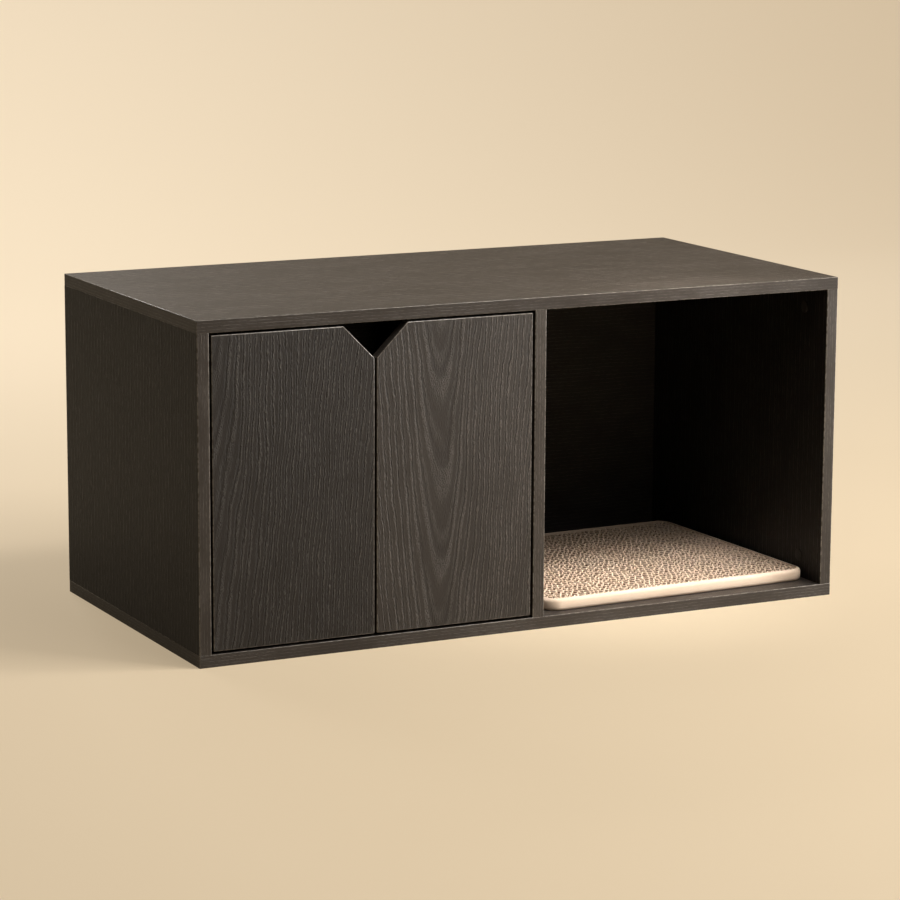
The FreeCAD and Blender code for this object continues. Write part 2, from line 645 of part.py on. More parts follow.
def hinge_plate():
    """The mounting plate: a ridge under the arm and two wings with a screw each."""
    half_ridge = ARM_WIDTH / 2 - ARM_FLANGE - PLATE_RIDGE_PLAY
    tail_y = ARM_TAIL_Y - PLATE_RIDGE_INSET
    head_y = tail_y - PLATE_RIDGE_LENGTH + ARM_SLOPE
    ridge = box(0, PLATE_RIDGE_HEIGHT, head_y, tail_y, -half_ridge, half_ridge)
    crest = [edge for edge in ridge.Edges
             if edge.BoundBox.XMin > PLATE_RIDGE_HEIGHT - NEAR and edge.BoundBox.ZLength > 1]
    ridge = ridge.makeChamfer(PLATE_RIDGE_BEVEL, crest)
    wings = box(0, PLATE_WING_THICKNESS, PLATE_Y - PLATE_WING_WIDTH / 2,
                PLATE_Y + PLATE_WING_WIDTH / 2, -PLATE_WING_HALF_LENGTH,
                PLATE_WING_HALF_LENGTH)
    corners = edges_of_length(wings, PLATE_WING_THICKNESS)
    body = fused([ridge, wings.makeChamfer(WING_CORNER, corners)])
    tools = []
    for z in (-PLATE_SCREW_PITCH / 2, PLATE_SCREW_PITCH / 2):
        tools.append(screw_hole(Vector(0, PLATE_Y, z), ACROSS, 2 * PLATE_WING_THICKNESS))
    for y in arm_screw_places():
        tools.append(screw_hole(Vector(1, y, 0), ACROSS, 2 * PLATE_RIDGE_HEIGHT))
    return cut_all(body, tools)


def plate_screws():
    """The two screws that hold a mounting plate."""
    into = Vector(-1, 0, 0)
    return [screw(Vector(PLATE_WING_THICKNESS, PLATE_Y, z), into, PLATE_SCREW_LENGTH)
            for z in (-PLATE_SCREW_PITCH / 2, PLATE_SCREW_PITCH / 2)]


def plate_screw_holes():
    """Bores of the plate's screws in the board behind it."""
    into = Vector(-1, 0, 0)
    depth = PLATE_SCREW_LENGTH - PLATE_WING_THICKNESS + 1
    return [screw_hole(Vector(0, PLATE_Y, z), into, depth)
            for z in (-PLATE_SCREW_PITCH / 2, PLATE_SCREW_PITCH / 2)]


def arm_screws():
    """The adjusting screw and the clamping screw on an arm."""
    base_x = arm_line()[0].x + ARM_THICKNESS / 2
    return [screw(Vector(base_x, y, 0), Vector(-1, 0, 0), ARM_SCREW_LENGTH)
            for y in arm_screw_places()]


def cup_screws():
    """The two screws that hold a cup to its door."""
    return [screw(Vector(CUP_X + CUP_SCREW_OFFSET, CUP_MOUTH_Y + CUP_FLANGE_THICKNESS, z),
                  Vector(0, -1, 0), SCREW_LENGTH)
            for z in (-CUP_SCREW_PITCH / 2, CUP_SCREW_PITCH / 2)]


def at_hinges(shapes):
    """Copies of pieces at both hinges of the left door."""
    return [hinge_place(shape, z) for z in HINGE_HEIGHTS for shape in shapes]


# ---- Magnetic catches ------------------------------------------------------------------
def catch_x():
    """X of the left door's catch and strike plate."""
    return DOOR_MIDDLE_X - CATCH_FROM_MIDDLE


def catch_front_y():
    """Y of the faces of the pole plates."""
    return DOOR_INNER_Y + STRIKE_THICKNESS + CATCH_GAP


def strike_middle_z():
    """Z of the middle of the strike plate and of the poles."""
    return DOOR_TOP_Z - STRIKE_DROP - STRIKE_HEIGHT / 2


def catch_housing():
    """The catch's plastic case: an open-fronted box with two ears under the top panel."""
    x = catch_x()
    front = catch_front_y() + POLE_PROUD
    half = CATCH_LENGTH / 2
    low_z = CEILING_Z - CATCH_HEIGHT
    case = box(x - half, x + half, front, front + CATCH_DEPTH, low_z, CEILING_Z)
    ears = box(x - half - CATCH_EAR, x + half + CATCH_EAR, front + CATCH_EAR_INSET,
               front + CATCH_DEPTH - CATCH_EAR_INSET, CEILING_Z - CATCH_EAR_THICKNESS, CEILING_Z)
    corners = edges_of_length(ears, CATCH_EAR_THICKNESS)
    body = fused([case, ears.makeChamfer(CATCH_EAR_CORNER, corners)])
    pocket = magnet_pocket(front)
    tools = [pocket]
    for screw_x in catch_screw_xs():
        tools.append(screw_hole(Vector(screw_x, front + CATCH_DEPTH / 2, low_z),
                                UP, CATCH_HEIGHT + 1))
    return cut_all(body, tools)


def magnet_block_sizes():
    """Half length, depth and half height of the magnet with its pole plates."""
    half = CATCH_LENGTH / 2 - CATCH_WALL - MAGNET_END_ROOM
    return (half, CATCH_DEPTH - CATCH_WALL, MAGNET_HEIGHT / 2)


def magnet_pocket(front):
    """The room for the magnet and its pole plates in the case."""
    half, depth, half_height = magnet_block_sizes()
    x, z = catch_x(), strike_middle_z()
    return box(x - half - FIT, x + half + FIT, front - 1, front + depth + FIT,
               z - half_height - FIT, z + half_height + FIT)


def catch_magnet():
    """The ferrite magnet between the pole plates."""
    half, depth, half_height = magnet_block_sizes()
    x, z = catch_x(), strike_middle_z()
    front = catch_front_y()
    inner = half_height - POLE_THICKNESS
    return box(x - half, x + half, front + 2 * POLE_PROUD, front + POLE_PROUD + depth,
               z - inner, z + inner)


def pole_plates():
    """Two steel plates that carry the pull of the magnet to the strike plate."""
    half, depth, half_height = magnet_block_sizes()
    x, z = catch_x(), strike_middle_z()
    front = catch_front_y()
    plates = []
    for z0 in (z - half_height, z + half_height - POLE_THICKNESS):
        plates.append(box(x - half, x + half, front, front + POLE_PROUD + depth, z0,
                          z0 + POLE_THICKNESS))
    return plates


def catch_screw_xs():
    """X of the two screws of the left catch."""
    reach = CATCH_LENGTH / 2 + CATCH_EAR / 2
    return (catch_x() - reach, catch_x() + reach)


def catch_screws():
    """The screws that hold the left catch under the top panel."""
    y = catch_front_y() + POLE_PROUD + CATCH_DEPTH / 2
    return [screw(Vector(x, y, CEILING_Z - CATCH_EAR_THICKNESS), UP, SCREW_LENGTH)
            for x in catch_screw_xs()]


def catch_screw_holes():
    """Bores of the catch's screws in the top panel."""
    y = catch_front_y() + POLE_PROUD + CATCH_DEPTH / 2
    return [screw_hole(Vector(x, y, CEILING_Z), UP, SCREW_LENGTH - CATCH_EAR_THICKNESS + 1)
            for x in catch_screw_xs()]


def strike_plate():
    """The steel plate on the left door that the catch pulls on."""
    x, z = catch_x(), strike_middle_z()
    plate = box(x - STRIKE_LENGTH / 2, x + STRIKE_LENGTH / 2, DOOR_INNER_Y,
                DOOR_INNER_Y + STRIKE_THICKNESS, z - STRIKE_HEIGHT / 2, z + STRIKE_HEIGHT / 2)
    corners = edges_of_length(plate, STRIKE_THICKNESS)
    seat_y = DOOR_INNER_Y + STRIKE_THICKNESS - STRIKE_SCREW_HEAD_HEIGHT
    seat = flat_sided(Vector(x, seat_y, z), INWARD, SCREW_HEAD_RADIUS + FIT,
                      STRIKE_THICKNESS, HEAD_SIDES)
    hole = screw_hole(Vector(x, DOOR_INNER_Y - 1, z), INWARD, 2 * STRIKE_THICKNESS)
    return cut_all(plate.makeChamfer(STRIKE_CORNER, corners), [seat, hole])


def strike_screw():
    """The screw of the strike plate, its head flush in a seat."""
    seat_y = DOOR_INNER_Y + STRIKE_THICKNESS - STRIKE_SCREW_HEAD_HEIGHT
    return screw(Vector(catch_x(), seat_y, strike_middle_z()), Vector(0, -1, 0),
                 SCREW_LENGTH, STRIKE_SCREW_HEAD_HEIGHT)


def strike_screw_hole():
    """Bore of the strike plate's screw in the door."""
    return screw_hole(Vector(catch_x(), DOOR_INNER_Y, strike_middle_z()),
                      Vector(0, -1, 0), SCREW_LENGTH + 1)


# ---- Scratching pad --------------------------------------------------------------------
def pad_place(shape):
    """Turns the pad a little and lays it on the bottom panel in the open bay."""
    angle = math.radians(PAD_TURN)
    reach_x = (PAD_LENGTH * math.cos(angle) + PAD_WIDTH * math.sin(angle)) / 2
    reach_y = (PAD_WIDTH * math.cos(angle) + PAD_LENGTH * math.sin(angle)) / 2
    middle_x = INNER_RIGHT_X - PAD_SIDE_SPACE - reach_x
    middle_y = FRONT_Y + PAD_FRONT_SETBACK + reach_y
    placed = shape.copy()
    placed.rotate(Vector(0, 0, 0), UP, PAD_TURN)
    placed.translate(Vector(middle_x, middle_y, FLOOR_Z))
    return placed


def pad_core():
    """The block of glued cardboard strips, standing on its flutes' ends."""
    slab = rounded_slab(PAD_LENGTH - 2 * PAD_RIM, PAD_WIDTH - 2 * PAD_RIM,
                        PAD_CORNER - PAD_RIM, 0, PAD_THICKNESS - PAD_CORE_DROP)
    return pad_place(slab)


def pad_rim():
    """The smooth board band round the pad, bevelled at its outer top and bottom."""
    outer = rounded_slab(PAD_LENGTH, PAD_WIDTH, PAD_CORNER, 0, PAD_THICKNESS)
    flat_edges = [edge for edge in outer.Edges if edge.BoundBox.ZLength < NEAR]
    outer = outer.makeChamfer(PAD_RIM_BEVEL, flat_edges)
    inner = rounded_slab(PAD_LENGTH - 2 * PAD_RIM, PAD_WIDTH - 2 * PAD_RIM,
                         PAD_CORNER - PAD_RIM, -1, PAD_THICKNESS + 1)
    return pad_place(outer.cut(inner))


# ---- The whole assembly ------------------------------------------------------------------
def carcass_nodes():
    """Boards, edge bands and the fittings that join them."""
    joints = board_joints()
    left_holes = at_hinges(plate_screw_holes())
    divider_holes = [mirrored(hole) for hole in left_holes]
    top_holes = catch_screw_holes()
    top_holes += [mirrored(hole) for hole in top_holes]
    top = lying_panel(CEILING_Z, CABINET_HEIGHT, CEILING_Z)
    return {
        "top_panel": [cut_all(top, top_holes)],
        "bottom_panel": [lying_panel(0, FLOOR_Z, FLOOR_Z)],
        "left_side_panel": [side_panel(LEFT_X, INNER_LEFT_X, "left_side", left_holes)],
        "right_side_panel": [side_panel(INNER_RIGHT_X, RIGHT_X, "right_side", [])],
        "divider_panel": [divider_panel(divider_holes)],
        "back_panel": [back_panel()],
        "top_edge_bands": lying_panel_bands(CEILING_Z, CABINET_HEIGHT),
        "bottom_edge_bands": lying_panel_bands(0, FLOOR_Z),
        "left_side_edge_band": [upright_band(LEFT_X, INNER_LEFT_X)],
        "right_side_edge_band": [upright_band(INNER_RIGHT_X, RIGHT_X)],
        "divider_edge_band": [upright_band(DIVIDER_FACE_X, DIVIDER_RIGHT_X)],
        "entrance_edge_band": [entrance_band()],
        "cam_housings": [cam_housing(joint) for joint in joints],
        "cam_bolts": [cam_bolt(joint) for joint in joints],
        "cam_cover_caps": [cam_cap(joint) for joint in joints],
        "joint_dowels": [dowel(joint) for joint in joints],
    }


def hinge_and_catch_nodes():
    """The halves of the hinges and catches that stay with the carcass."""
    left = {
        "hinge_mounting_plates": at_hinges([hinge_plate()]),
        "hinge_arms": at_hinges([hinge_arm()]),
        "hinge_plate_screws": at_hinges(plate_screws()),
        "hinge_arm_screws": at_hinges(arm_screws()),
        "catch_housings": [catch_housing()],
        "catch_magnets": [catch_magnet()],
        "catch_pole_plates": pole_plates(),
        "catch_screws": catch_screws(),
    }
    return {name: shapes + [mirrored(shape) for shape in shapes]
            for name, shapes in left.items()}


def door_nodes():
    """Each door with the pieces that ride on it."""
    left = {
        "door_panel": [door_panel()],
        "door_edge_bands": door_bands(),
        "hinge_cups": at_hinges([hinge_cup()]),
        "hinge_pins": at_hinges([hinge_pin()]),
        "hinge_cup_screws": at_hinges(cup_screws()),
        "strike_plate": [strike_plate()],
        "strike_screw": [strike_screw()],
    }
    nodes = {}
    for name, shapes in left.items():
        nodes["left_" + name] = shapes
        nodes["right_" + name] = [mirrored(shape) for shape in shapes]
    return nodes


def pad_nodes():
    """The scratching pad."""
    return {"scratch_pad_core": [pad_core()], "scratch_pad_rim": [pad_rim()]}


def print_swing():
    """Prints how close a door's front corner passes to the board that carries it."""
    reach = math.hypot(PIVOT_X - DOOR_GAP, PIVOT_Y - DOOR_RECESS)
    pivot_x = INNER_LEFT_X + PIVOT_X
    pivot_y = FRONT_Y + PIVOT_Y
    print("door corner passes the side by", round(PIVOT_X - reach, 2), "mm")
    print("left hinge pin at", pivot_x, pivot_y, "right at", 2 * DOOR_MIDDLE_X - pivot_x, pivot_y)


def export(nodes):
    """Writes one STEP file per node."""
    os.makedirs("parts", exist_ok=True)
    for name, shapes in nodes.items():
        solids = []
        for shape in shapes:
            solids.extend(shape.Solids)
        whole = solids[0] if len(solids) == 1 else Part.makeCompound(solids)
        if not whole.isValid():
            print("not valid:", name)
        whole.exportStep("parts/" + name + ".step")
        print(name, len(solids), "solid(s)", round(whole.Volume / 1000, 2), "cm3")


def main():
    nodes = {}
    for group in (carcass_nodes(), hinge_and_catch_nodes(), door_nodes(), pad_nodes()):
        nodes.update(group)
    export(nodes)
    print(len(nodes), "nodes")
    print_swing()


main()
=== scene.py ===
# %% [markdown]
# # A litter box cabinet in dark wood-grained board
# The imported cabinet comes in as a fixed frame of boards, hinges and a scratching pad. This
# script dresses it: rounded edge bands, embossed grain, real flutes in the pad, and small
# fasteners with cross recesses. Everything is in metres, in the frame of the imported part.

# %% Load the cabinet
import bmesh
import bpy
import math
import random
from mathutils import Matrix, Vector


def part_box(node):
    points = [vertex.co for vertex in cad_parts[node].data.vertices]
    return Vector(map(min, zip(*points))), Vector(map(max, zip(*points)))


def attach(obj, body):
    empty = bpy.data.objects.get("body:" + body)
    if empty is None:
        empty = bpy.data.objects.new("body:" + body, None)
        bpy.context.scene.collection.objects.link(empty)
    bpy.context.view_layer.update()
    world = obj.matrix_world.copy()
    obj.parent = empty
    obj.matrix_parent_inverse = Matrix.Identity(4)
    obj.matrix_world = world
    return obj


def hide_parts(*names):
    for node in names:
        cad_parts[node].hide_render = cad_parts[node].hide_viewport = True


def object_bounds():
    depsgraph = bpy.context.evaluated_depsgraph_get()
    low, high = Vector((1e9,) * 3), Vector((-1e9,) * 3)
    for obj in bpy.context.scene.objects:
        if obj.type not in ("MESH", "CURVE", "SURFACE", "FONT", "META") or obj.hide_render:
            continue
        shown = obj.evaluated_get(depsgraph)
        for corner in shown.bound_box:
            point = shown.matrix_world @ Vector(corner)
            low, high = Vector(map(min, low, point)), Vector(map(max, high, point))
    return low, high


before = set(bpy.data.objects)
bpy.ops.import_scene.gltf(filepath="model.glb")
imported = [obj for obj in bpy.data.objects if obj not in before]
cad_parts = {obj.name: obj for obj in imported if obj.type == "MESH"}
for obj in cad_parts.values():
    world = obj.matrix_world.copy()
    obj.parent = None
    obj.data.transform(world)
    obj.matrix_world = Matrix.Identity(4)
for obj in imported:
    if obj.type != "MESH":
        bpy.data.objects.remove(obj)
cad_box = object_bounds()
MM = 0.001
print("cabinet", [round(v, 4) for v in cad_box[1] - cad_box[0]], "m")

# %% [markdown]
# ## Writing finishes as expressions
# A finish is a net of small nodes. Wiring each by hand hides the idea, so a small class
# wraps a socket and lets it be added, multiplied and divided like a number. Each operator
# adds one Math node. A second class holds the material and makes any other node.

# %% A socket that does arithmetic
class Wire:
    """An output socket of one finish, usable in expressions."""

    def __init__(self, finish, socket):
        self.finish, self.socket = finish, socket

    def math(self, operation, *values):
        return self.finish.node("ShaderNodeMath", {"operation": operation}, *values)

    def __add__(self, other):
        return self.math("ADD", self, other)

    def __mul__(self, other):
        return self.math("MULTIPLY", self, other)

    def __sub__(self, other):
        return self.math("SUBTRACT", self, other)

    def __rsub__(self, other):
        return self.math("SUBTRACT", other, self)

    def __truediv__(self, other):
        return self.math("DIVIDE", self, other)

    def __rtruediv__(self, other):
        return self.math("DIVIDE", other, self)

    __radd__, __rmul__ = __add__, __mul__

    def repeat(self):
        """The fractional part: a saw that restarts at each whole number."""
        return self.math("FRACT", self)

    def size(self):
        return self.math("ABSOLUTE", self)

    def root(self):
        return self.math("SQRT", self)

    def ramp(self, low, high):
        """0 below low, 1 above high, smooth between them."""
        settings = {"interpolation_type": "SMOOTHSTEP"}
        return self.finish.node("ShaderNodeMapRange", settings, self, low, high, 0.0, 1.0)


# %% A finish: one material and the nodes in it
class Finish:
    """A named material. Colours are given as sRGB numbers from 0 to 255."""

    def __init__(self, name, roughness=0.5, metallic=0.0, level=0.5):
        self.material = bpy.data.materials.new(name)
        self.material.use_nodes = True
        self.tree = self.material.node_tree
        self.shader = self.tree.nodes["Principled BSDF"]
        self.shader.inputs["Roughness"].default_value = roughness
        self.shader.inputs["Metallic"].default_value = metallic
        self.shader.inputs["Specular IOR Level"].default_value = level
        place = self.node("ShaderNodeTexCoord", {}, output="Object")
        split = self.tree.nodes.new("ShaderNodeSeparateXYZ")
        self.tree.links.new(place.socket, split.inputs[0])
        self.x, self.y, self.z = [Wire(self, socket) * 1000 for socket in split.outputs]

    def node(self, kind, settings, *values, output=0, **named):
        """Adds a node: its settings first, then its sockets by order or by name."""
        made = self.tree.nodes.new(kind)
        for name, value in settings.items():
            setattr(made, name, value)
        pairs = list(zip(made.inputs, values)) + [(made.inputs[n], v) for n, v in named.items()]
        for socket, value in pairs:
            if isinstance(value, Wire):
                self.tree.links.new(value.socket, socket)
            else:
                socket.default_value = value
        return Wire(self, made.outputs[output])

    def point(self, x, y, z):
        return self.node("ShaderNodeCombineXYZ", {}, x, y, z)

    def place_mm(self, across, inward, up):
        """The place, with so many features of a noise in each millimetre along each axis."""
        return self.point(self.x * across, self.y * inward, self.z * up)

    def cloud(self, point, detail=2.0):
        """Noise from 0 to 1 over a point whose unit is one feature."""
        return self.node("ShaderNodeTexNoise", {"noise_dimensions": "3D"}, Vector=point,
                         Scale=1.0, Detail=detail)

    def blend(self, factor, first, second):
        """Mixes two colours, each a wire or an sRGB triple."""
        colours = [c if isinstance(c, Wire) else linear(c) for c in (first, second)]
        made = self.tree.nodes.new("ShaderNodeMix")
        made.data_type = "RGBA"
        for socket, value in zip((made.inputs[0], made.inputs[6], made.inputs[7]),
                                 [factor] + colours):
            if isinstance(value, Wire):
                self.tree.links.new(value.socket, socket)
            else:
                socket.default_value = value
        return Wire(self, made.outputs[2])

    def paint(self, colour, roughness=None, height=None, depth=0.0):
        """Feeds the shader. height is a number over the surface, depth its scale in metres."""
        for name, wire in (("Base Color", colour), ("Roughness", roughness)):
            if wire is not None:
                self.tree.links.new(wire.socket, self.shader.inputs[name])
        if height is not None:
            bump = self.node("ShaderNodeBump", {}, Strength=1.0, Distance=depth, Height=height)
            self.tree.links.new(bump.socket, self.shader.inputs["Normal"])
        return self.material


def linear(colour):
    """An sRGB triple from 0 to 255 as the linear colour that nodes expect."""
    parts = [c / 255 for c in colour]
    return [c / 12.92 if c <= 0.04045 else ((c + 0.055) / 1.055) ** 2.4 for c in parts] + [1.0]


print("a grey of 128 is", round(linear((128, 128, 128))[0], 4), "in linear light")

# %% [markdown]
# ## The wood-grained board
# The boards are covered with printed and embossed film. Three things make it read as wood:
# long growth lines, their breaking up into short raised dashes, and a slow change of tone.
# The lines are contours of one smooth field. Where the field is the distance across the
# board they run straight; where a slope along the board is added near a centre line, they
# close into the nested points of a flat-sawn plank.

# %% Grain that runs along a board
# The darkest colour is painted shadow at the foot of each raised line.
CHARCOAL, UMBER, ASH, RIDGE_SHADOW = (61, 54, 48), (51, 44, 38), (126, 117, 107), (30, 26, 23)
RING = 8.2          # millimetres between growth lines, away from a heart
ARCH = 125.0        # millimetres between the arches that close over a heart
HEART = 44.0        # how flat the arches are at their ends, in millimetres
ARCH_REACH = 45.0   # half the width over which they open out
ARCH_DRIFT = 160.0  # how far the slow noise moves the arches up and down, in millimetres
# Features in each millimetre, across and along the grain, of the noises that bend the lines,
# and how far each moves them, in millimetres.
SLOW, WOBBLE, JITTER = (0.010, 0.0024), (0.045, 0.016), (0.3, 0.13)
SLOW_BEND, WOBBLE_BEND, JITTER_BEND = 26.0, 9.0, 3.0
# The same for the noises that break the lines up.
LONG_DASH, SHORT_DASH, PATCH, PORE = (0.5, 0.13), (0.75, 0.34), (0.03, 0.011), (1.6, 0.14)


def streaks(finish, across, along, features, seed, detail=2.0):
    """Noise stretched along the grain."""
    point = finish.point(across * features[0], along * features[1], seed)
    return finish.cloud(point, detail)


def growth(finish, across, along, seed, heart, pitch, warp):
    """The smooth field whose whole numbers are growth lines, its tone, and where it arches."""
    slow = streaks(finish, across, along, SLOW, seed)
    wobble = streaks(finish, across, along, WOBBLE, seed + 7.0)
    jitter = streaks(finish, across, along, JITTER, seed + 13.0, 1.0)
    bend = (slow - 0.5) * SLOW_BEND + (wobble - 0.5) * WOBBLE_BEND + (jitter - 0.5) * JITTER_BEND
    bent = across + bend * warp
    if not heart:
        return bent / pitch, slow, 0.0
    side = bent - heart[0]
    sides = (side * side + HEART ** 2).root() / pitch
    arches = (along * -1.0 + heart[1] + (slow - 0.5) * ARCH_DRIFT) / ARCH
    near = 1.0 / (side * side / ARCH_REACH ** 2 + 1.0)
    return sides + arches, slow, near


def grain(finish, across, along, seed, heart, pitch, warp, fine):
    """Raised lines, painted shadow at their feet, fine ribs, pores and slow tone, each 0 to 1."""
    field, slow, near = growth(finish, across, along, seed, heart, pitch, warp)
    saw = field.repeat()
    ring = saw.ramp(0.0, 0.08) * (1.0 - saw.ramp(0.10, near * 0.3 + 0.25))
    # A dark band just before each raised line: painted shadow at its foot.
    foot = saw.ramp(0.74, 0.9) * (1.0 - saw.ramp(0.94, 1.0))
    ribs = 1.0 - ((field * 2.0).repeat() * 2.0 - 1.0).size().ramp(0.05, 0.6)
    long_dash, pore = [[part * fine for part in features] for features in (LONG_DASH, PORE)]
    long_dashes = streaks(finish, across, along, long_dash, seed + 3.0, 3.0)
    short_dashes = streaks(finish, across, along, SHORT_DASH, seed + 4.0)
    patches = streaks(finish, across, along, PATCH, seed + 5.0)
    pores = streaks(finish, across, along, pore, seed + 9.0)
    dashes = long_dashes + (short_dashes - long_dashes) * near
    strength = (1.0 - near * 0.5) * (patches.ramp(0.3, 0.6) * 0.5 + 0.5)
    lines = ring * dashes.ramp(0.36, 0.60) * strength
    ridge_shadows = foot * long_dashes.ramp(0.38, 0.58) * (1.0 - near * 0.6)
    faint = ribs * pores.ramp(0.4, 0.62) * patches.ramp(0.3, 0.65)
    return lines, ridge_shadows, faint, pores, slow * 0.6 + patches * 0.4


def board_finish(name, across, along, seed, heart=None, pitch=RING, contrast=1.0,
                 raised=1.0, painted_light_tint=1.0, rough=0.46, warp=1.0, fine=1.0, level=0.45):
    """A finish for boards whose grain runs along the axis named by along."""
    finish = Finish(name, roughness=rough, level=level)
    axes = {"x": finish.x, "y": finish.y, "z": finish.z, "x and y": finish.x + finish.y,
            "y and z": finish.y + finish.z, "z and x": finish.z + finish.x}
    lines, ridge_shadows, faint, pores, tone = grain(finish, axes[across], axes[along], seed, heart,
                                            pitch, warp, fine)
    # The tint scales every colour: below 1 it paints shade, above 1 painted light.
    umber, charcoal, ash, ridge_shadow_colour = [tuple(part * painted_light_tint for part in c)
                                        for c in (UMBER, CHARCOAL, ASH, RIDGE_SHADOW)]
    colour = finish.blend(tone.ramp(0.35, 0.65), umber, charcoal)
    colour = finish.blend(pores.ramp(0.5, 0.75) * (0.35 * contrast), colour, umber)
    # The dark bands at the feet of the raised lines are painted shadow.
    colour = finish.blend(ridge_shadows * (0.7 * contrast), colour, ridge_shadow_colour)
    colour = finish.blend((lines * 0.5 + faint * 0.28) * contrast, colour, ash)
    relief = lines + faint * 0.4 + (pores - 0.5) * 0.5 - ridge_shadows * 0.4
    roughness = 1.0 - (lines * 0.10 + (1.0 - rough) + (pores - 0.5) * 0.08)
    return finish.paint(colour, roughness, relief, raised * MM)


# %% [markdown]
# The film runs the way a joiner would lay it: along the length of the top and the bottom, and
# upright on the sides, the divider and the doors. The two doors are cut from different parts
# of the pattern. The heart of one lies just beyond its hinge edge and the heart of the other
# runs down its middle. The back is a thin board with a plainer, less glossy print. Every board
# has the same film; its tint paints the light and shade it stands in: darkest on the sides,
# darker on the left door, the back and the divider, a little on the right door, lighter on the top.

# %% The boards' finishes
SIDE = {"pitch": 12.0, "contrast": 0.8, "raised": 0.4, "warp": 0.7, "fine": 0.6, "level": 0.22}
LEFT_HEART, RIGHT_HEART = (-508.0, 470.0), (-150.0, 470.0)     # across and up, in millimetres


def finish_nodes(finishes):
    """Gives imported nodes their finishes, and leaves their meshes as they are."""
    for node_name, material in finishes.items():
        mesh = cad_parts[node_name].data
        mesh.materials.clear()
        mesh.materials.append(material)
    print(len(finishes), "packed nodes finished")


# Tints below 1 are painted shade, the top's 1.1 painted light.
finish_nodes({
    "top_panel": board_finish("wood_top", "y", "x", 2.0, pitch=15.0, raised=0.9, painted_light_tint=1.1,
                              fine=0.5),
    "bottom_panel": board_finish("wood_bottom", "y", "x", 31.0, pitch=12.0, contrast=0.8,
                                 raised=0.4, fine=0.5),
    "left_side_panel": board_finish("wood_left", "y", "z", 4.0, painted_light_tint=0.5, **SIDE),
    "right_side_panel": board_finish("wood_right", "y", "z", 17.0, painted_light_tint=0.56, **SIDE),
    "divider_panel": board_finish("wood_divider", "y", "z", 23.0, painted_light_tint=0.9, **SIDE),
    "left_door_panel": board_finish("wood_left_door", "x", "z", 11.0, LEFT_HEART, painted_light_tint=0.74,
                                    level=0.35),
    "right_door_panel": board_finish("wood_right_door", "x", "z", 41.0, RIGHT_HEART, painted_light_tint=0.93),
    "back_panel": board_finish("wood_back", "z", "x", 6.0, pitch=6.0, contrast=0.8, raised=0.3,
                               painted_light_tint=0.8, rough=0.6, warp=0.5),
})

# %% [markdown]
# ## Edge bands
# Every sawn edge that shows is covered with a 1 mm strip. Its long corners are rounded by
# a scraper, and these fine arrises are glossier and painted paler than the film, partly the
# scraped edge and partly a painted highlight: the bright lines round each board.
# The imported strips have a flat bevel. Here each set starts as the board's own outline: the
# outline is inset by the strip's thickness, the middle is thrown away, the ring is pulled
# to the board's thickness, and only the corners of its outer walls are rounded.

# %% Helpers that turn a bmesh into a piece
BAND = 1.0 * MM
ARRIS = 1.0 * MM
# The scraped finish is paler partly as a painted highlight; the worn finish is a painted highlight
# on arrises that face up.
SCRAPED_AND_HIGHLIGHT, UP_HIGHLIGHT = 3, 4         # places of the scraped and the worn finish in a band's list
SHARP = math.radians(40)


def piece(name, bm, body, materials, replaced=(), smooth=True):
    """Makes an object of a bmesh, gives it finishes and a body, and hides the nodes it replaces."""
    bmesh.ops.remove_doubles(bm, verts=bm.verts, dist=1e-7)
    bmesh.ops.recalc_face_normals(bm, faces=bm.faces)
    for face in bm.faces:
        face.smooth = smooth
    for edge in bm.edges:
        finishes = {face.material_index for face in edge.link_faces}
        edge.smooth = len(finishes) == 1 and edge.calc_face_angle(4.0) < SHARP
    mesh = bpy.data.meshes.new(name)
    bm.to_mesh(mesh)
    bm.free()
    for material in materials:
        mesh.materials.append(material)
    thing = bpy.data.objects.new(name, mesh)
    bpy.context.scene.collection.objects.link(thing)
    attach(thing, body)
    if replaced:
        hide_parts(*replaced)
    return thing


def grain_by_run(bm):
    """Gives each face the finish whose grain follows the strip: 0 for X, 1 for Y, 2 for Z."""
    for face in bm.faces:
        longest = max(face.edges, key=lambda e: e.calc_length())
        run = longest.verts[1].co - longest.verts[0].co
        face.material_index = max(range(3), key=lambda axis: abs(run[axis]))


def outline_face(bm, corners):
    """One flat face through corner points."""
    return bm.faces.new([bm.verts.new(corner) for corner in corners])


def rounded_face(bm, corners, radius):
    """One flat face through corner points, each of which is rounded."""
    face = outline_face(bm, corners)
    bmesh.ops.bevel(bm, geom=list(face.verts), offset=radius, affect="VERTICES",
                    segments=9, profile=0.5, material=-1)
    return bm.faces[:][0]


def points_in(geom):
    """The vertices in what an operator returns."""
    return [item for item in geom if isinstance(item, bmesh.types.BMVert)]


def band_ring(bm, face, sweep, arris=ARRIS, inside=False):
    """Insets a face, drops its middle, pulls the rim along sweep and rounds its walls."""
    centre = face.calc_center_median() + sweep / 2
    rim = rim_of(bm, face, BAND)
    pull_and_round(bm, rim, sweep, centre, arris, inside)


def rim_of(bm, face, width):
    """The flat ring that an inset leaves round a face, whose middle is thrown away."""
    bm.normal_update()
    rim = bmesh.ops.inset_region(bm, faces=[face], thickness=width, use_boundary=True,
                                 use_even_offset=True)["faces"]
    bmesh.ops.delete(bm, geom=[face], context="FACES")
    return rim


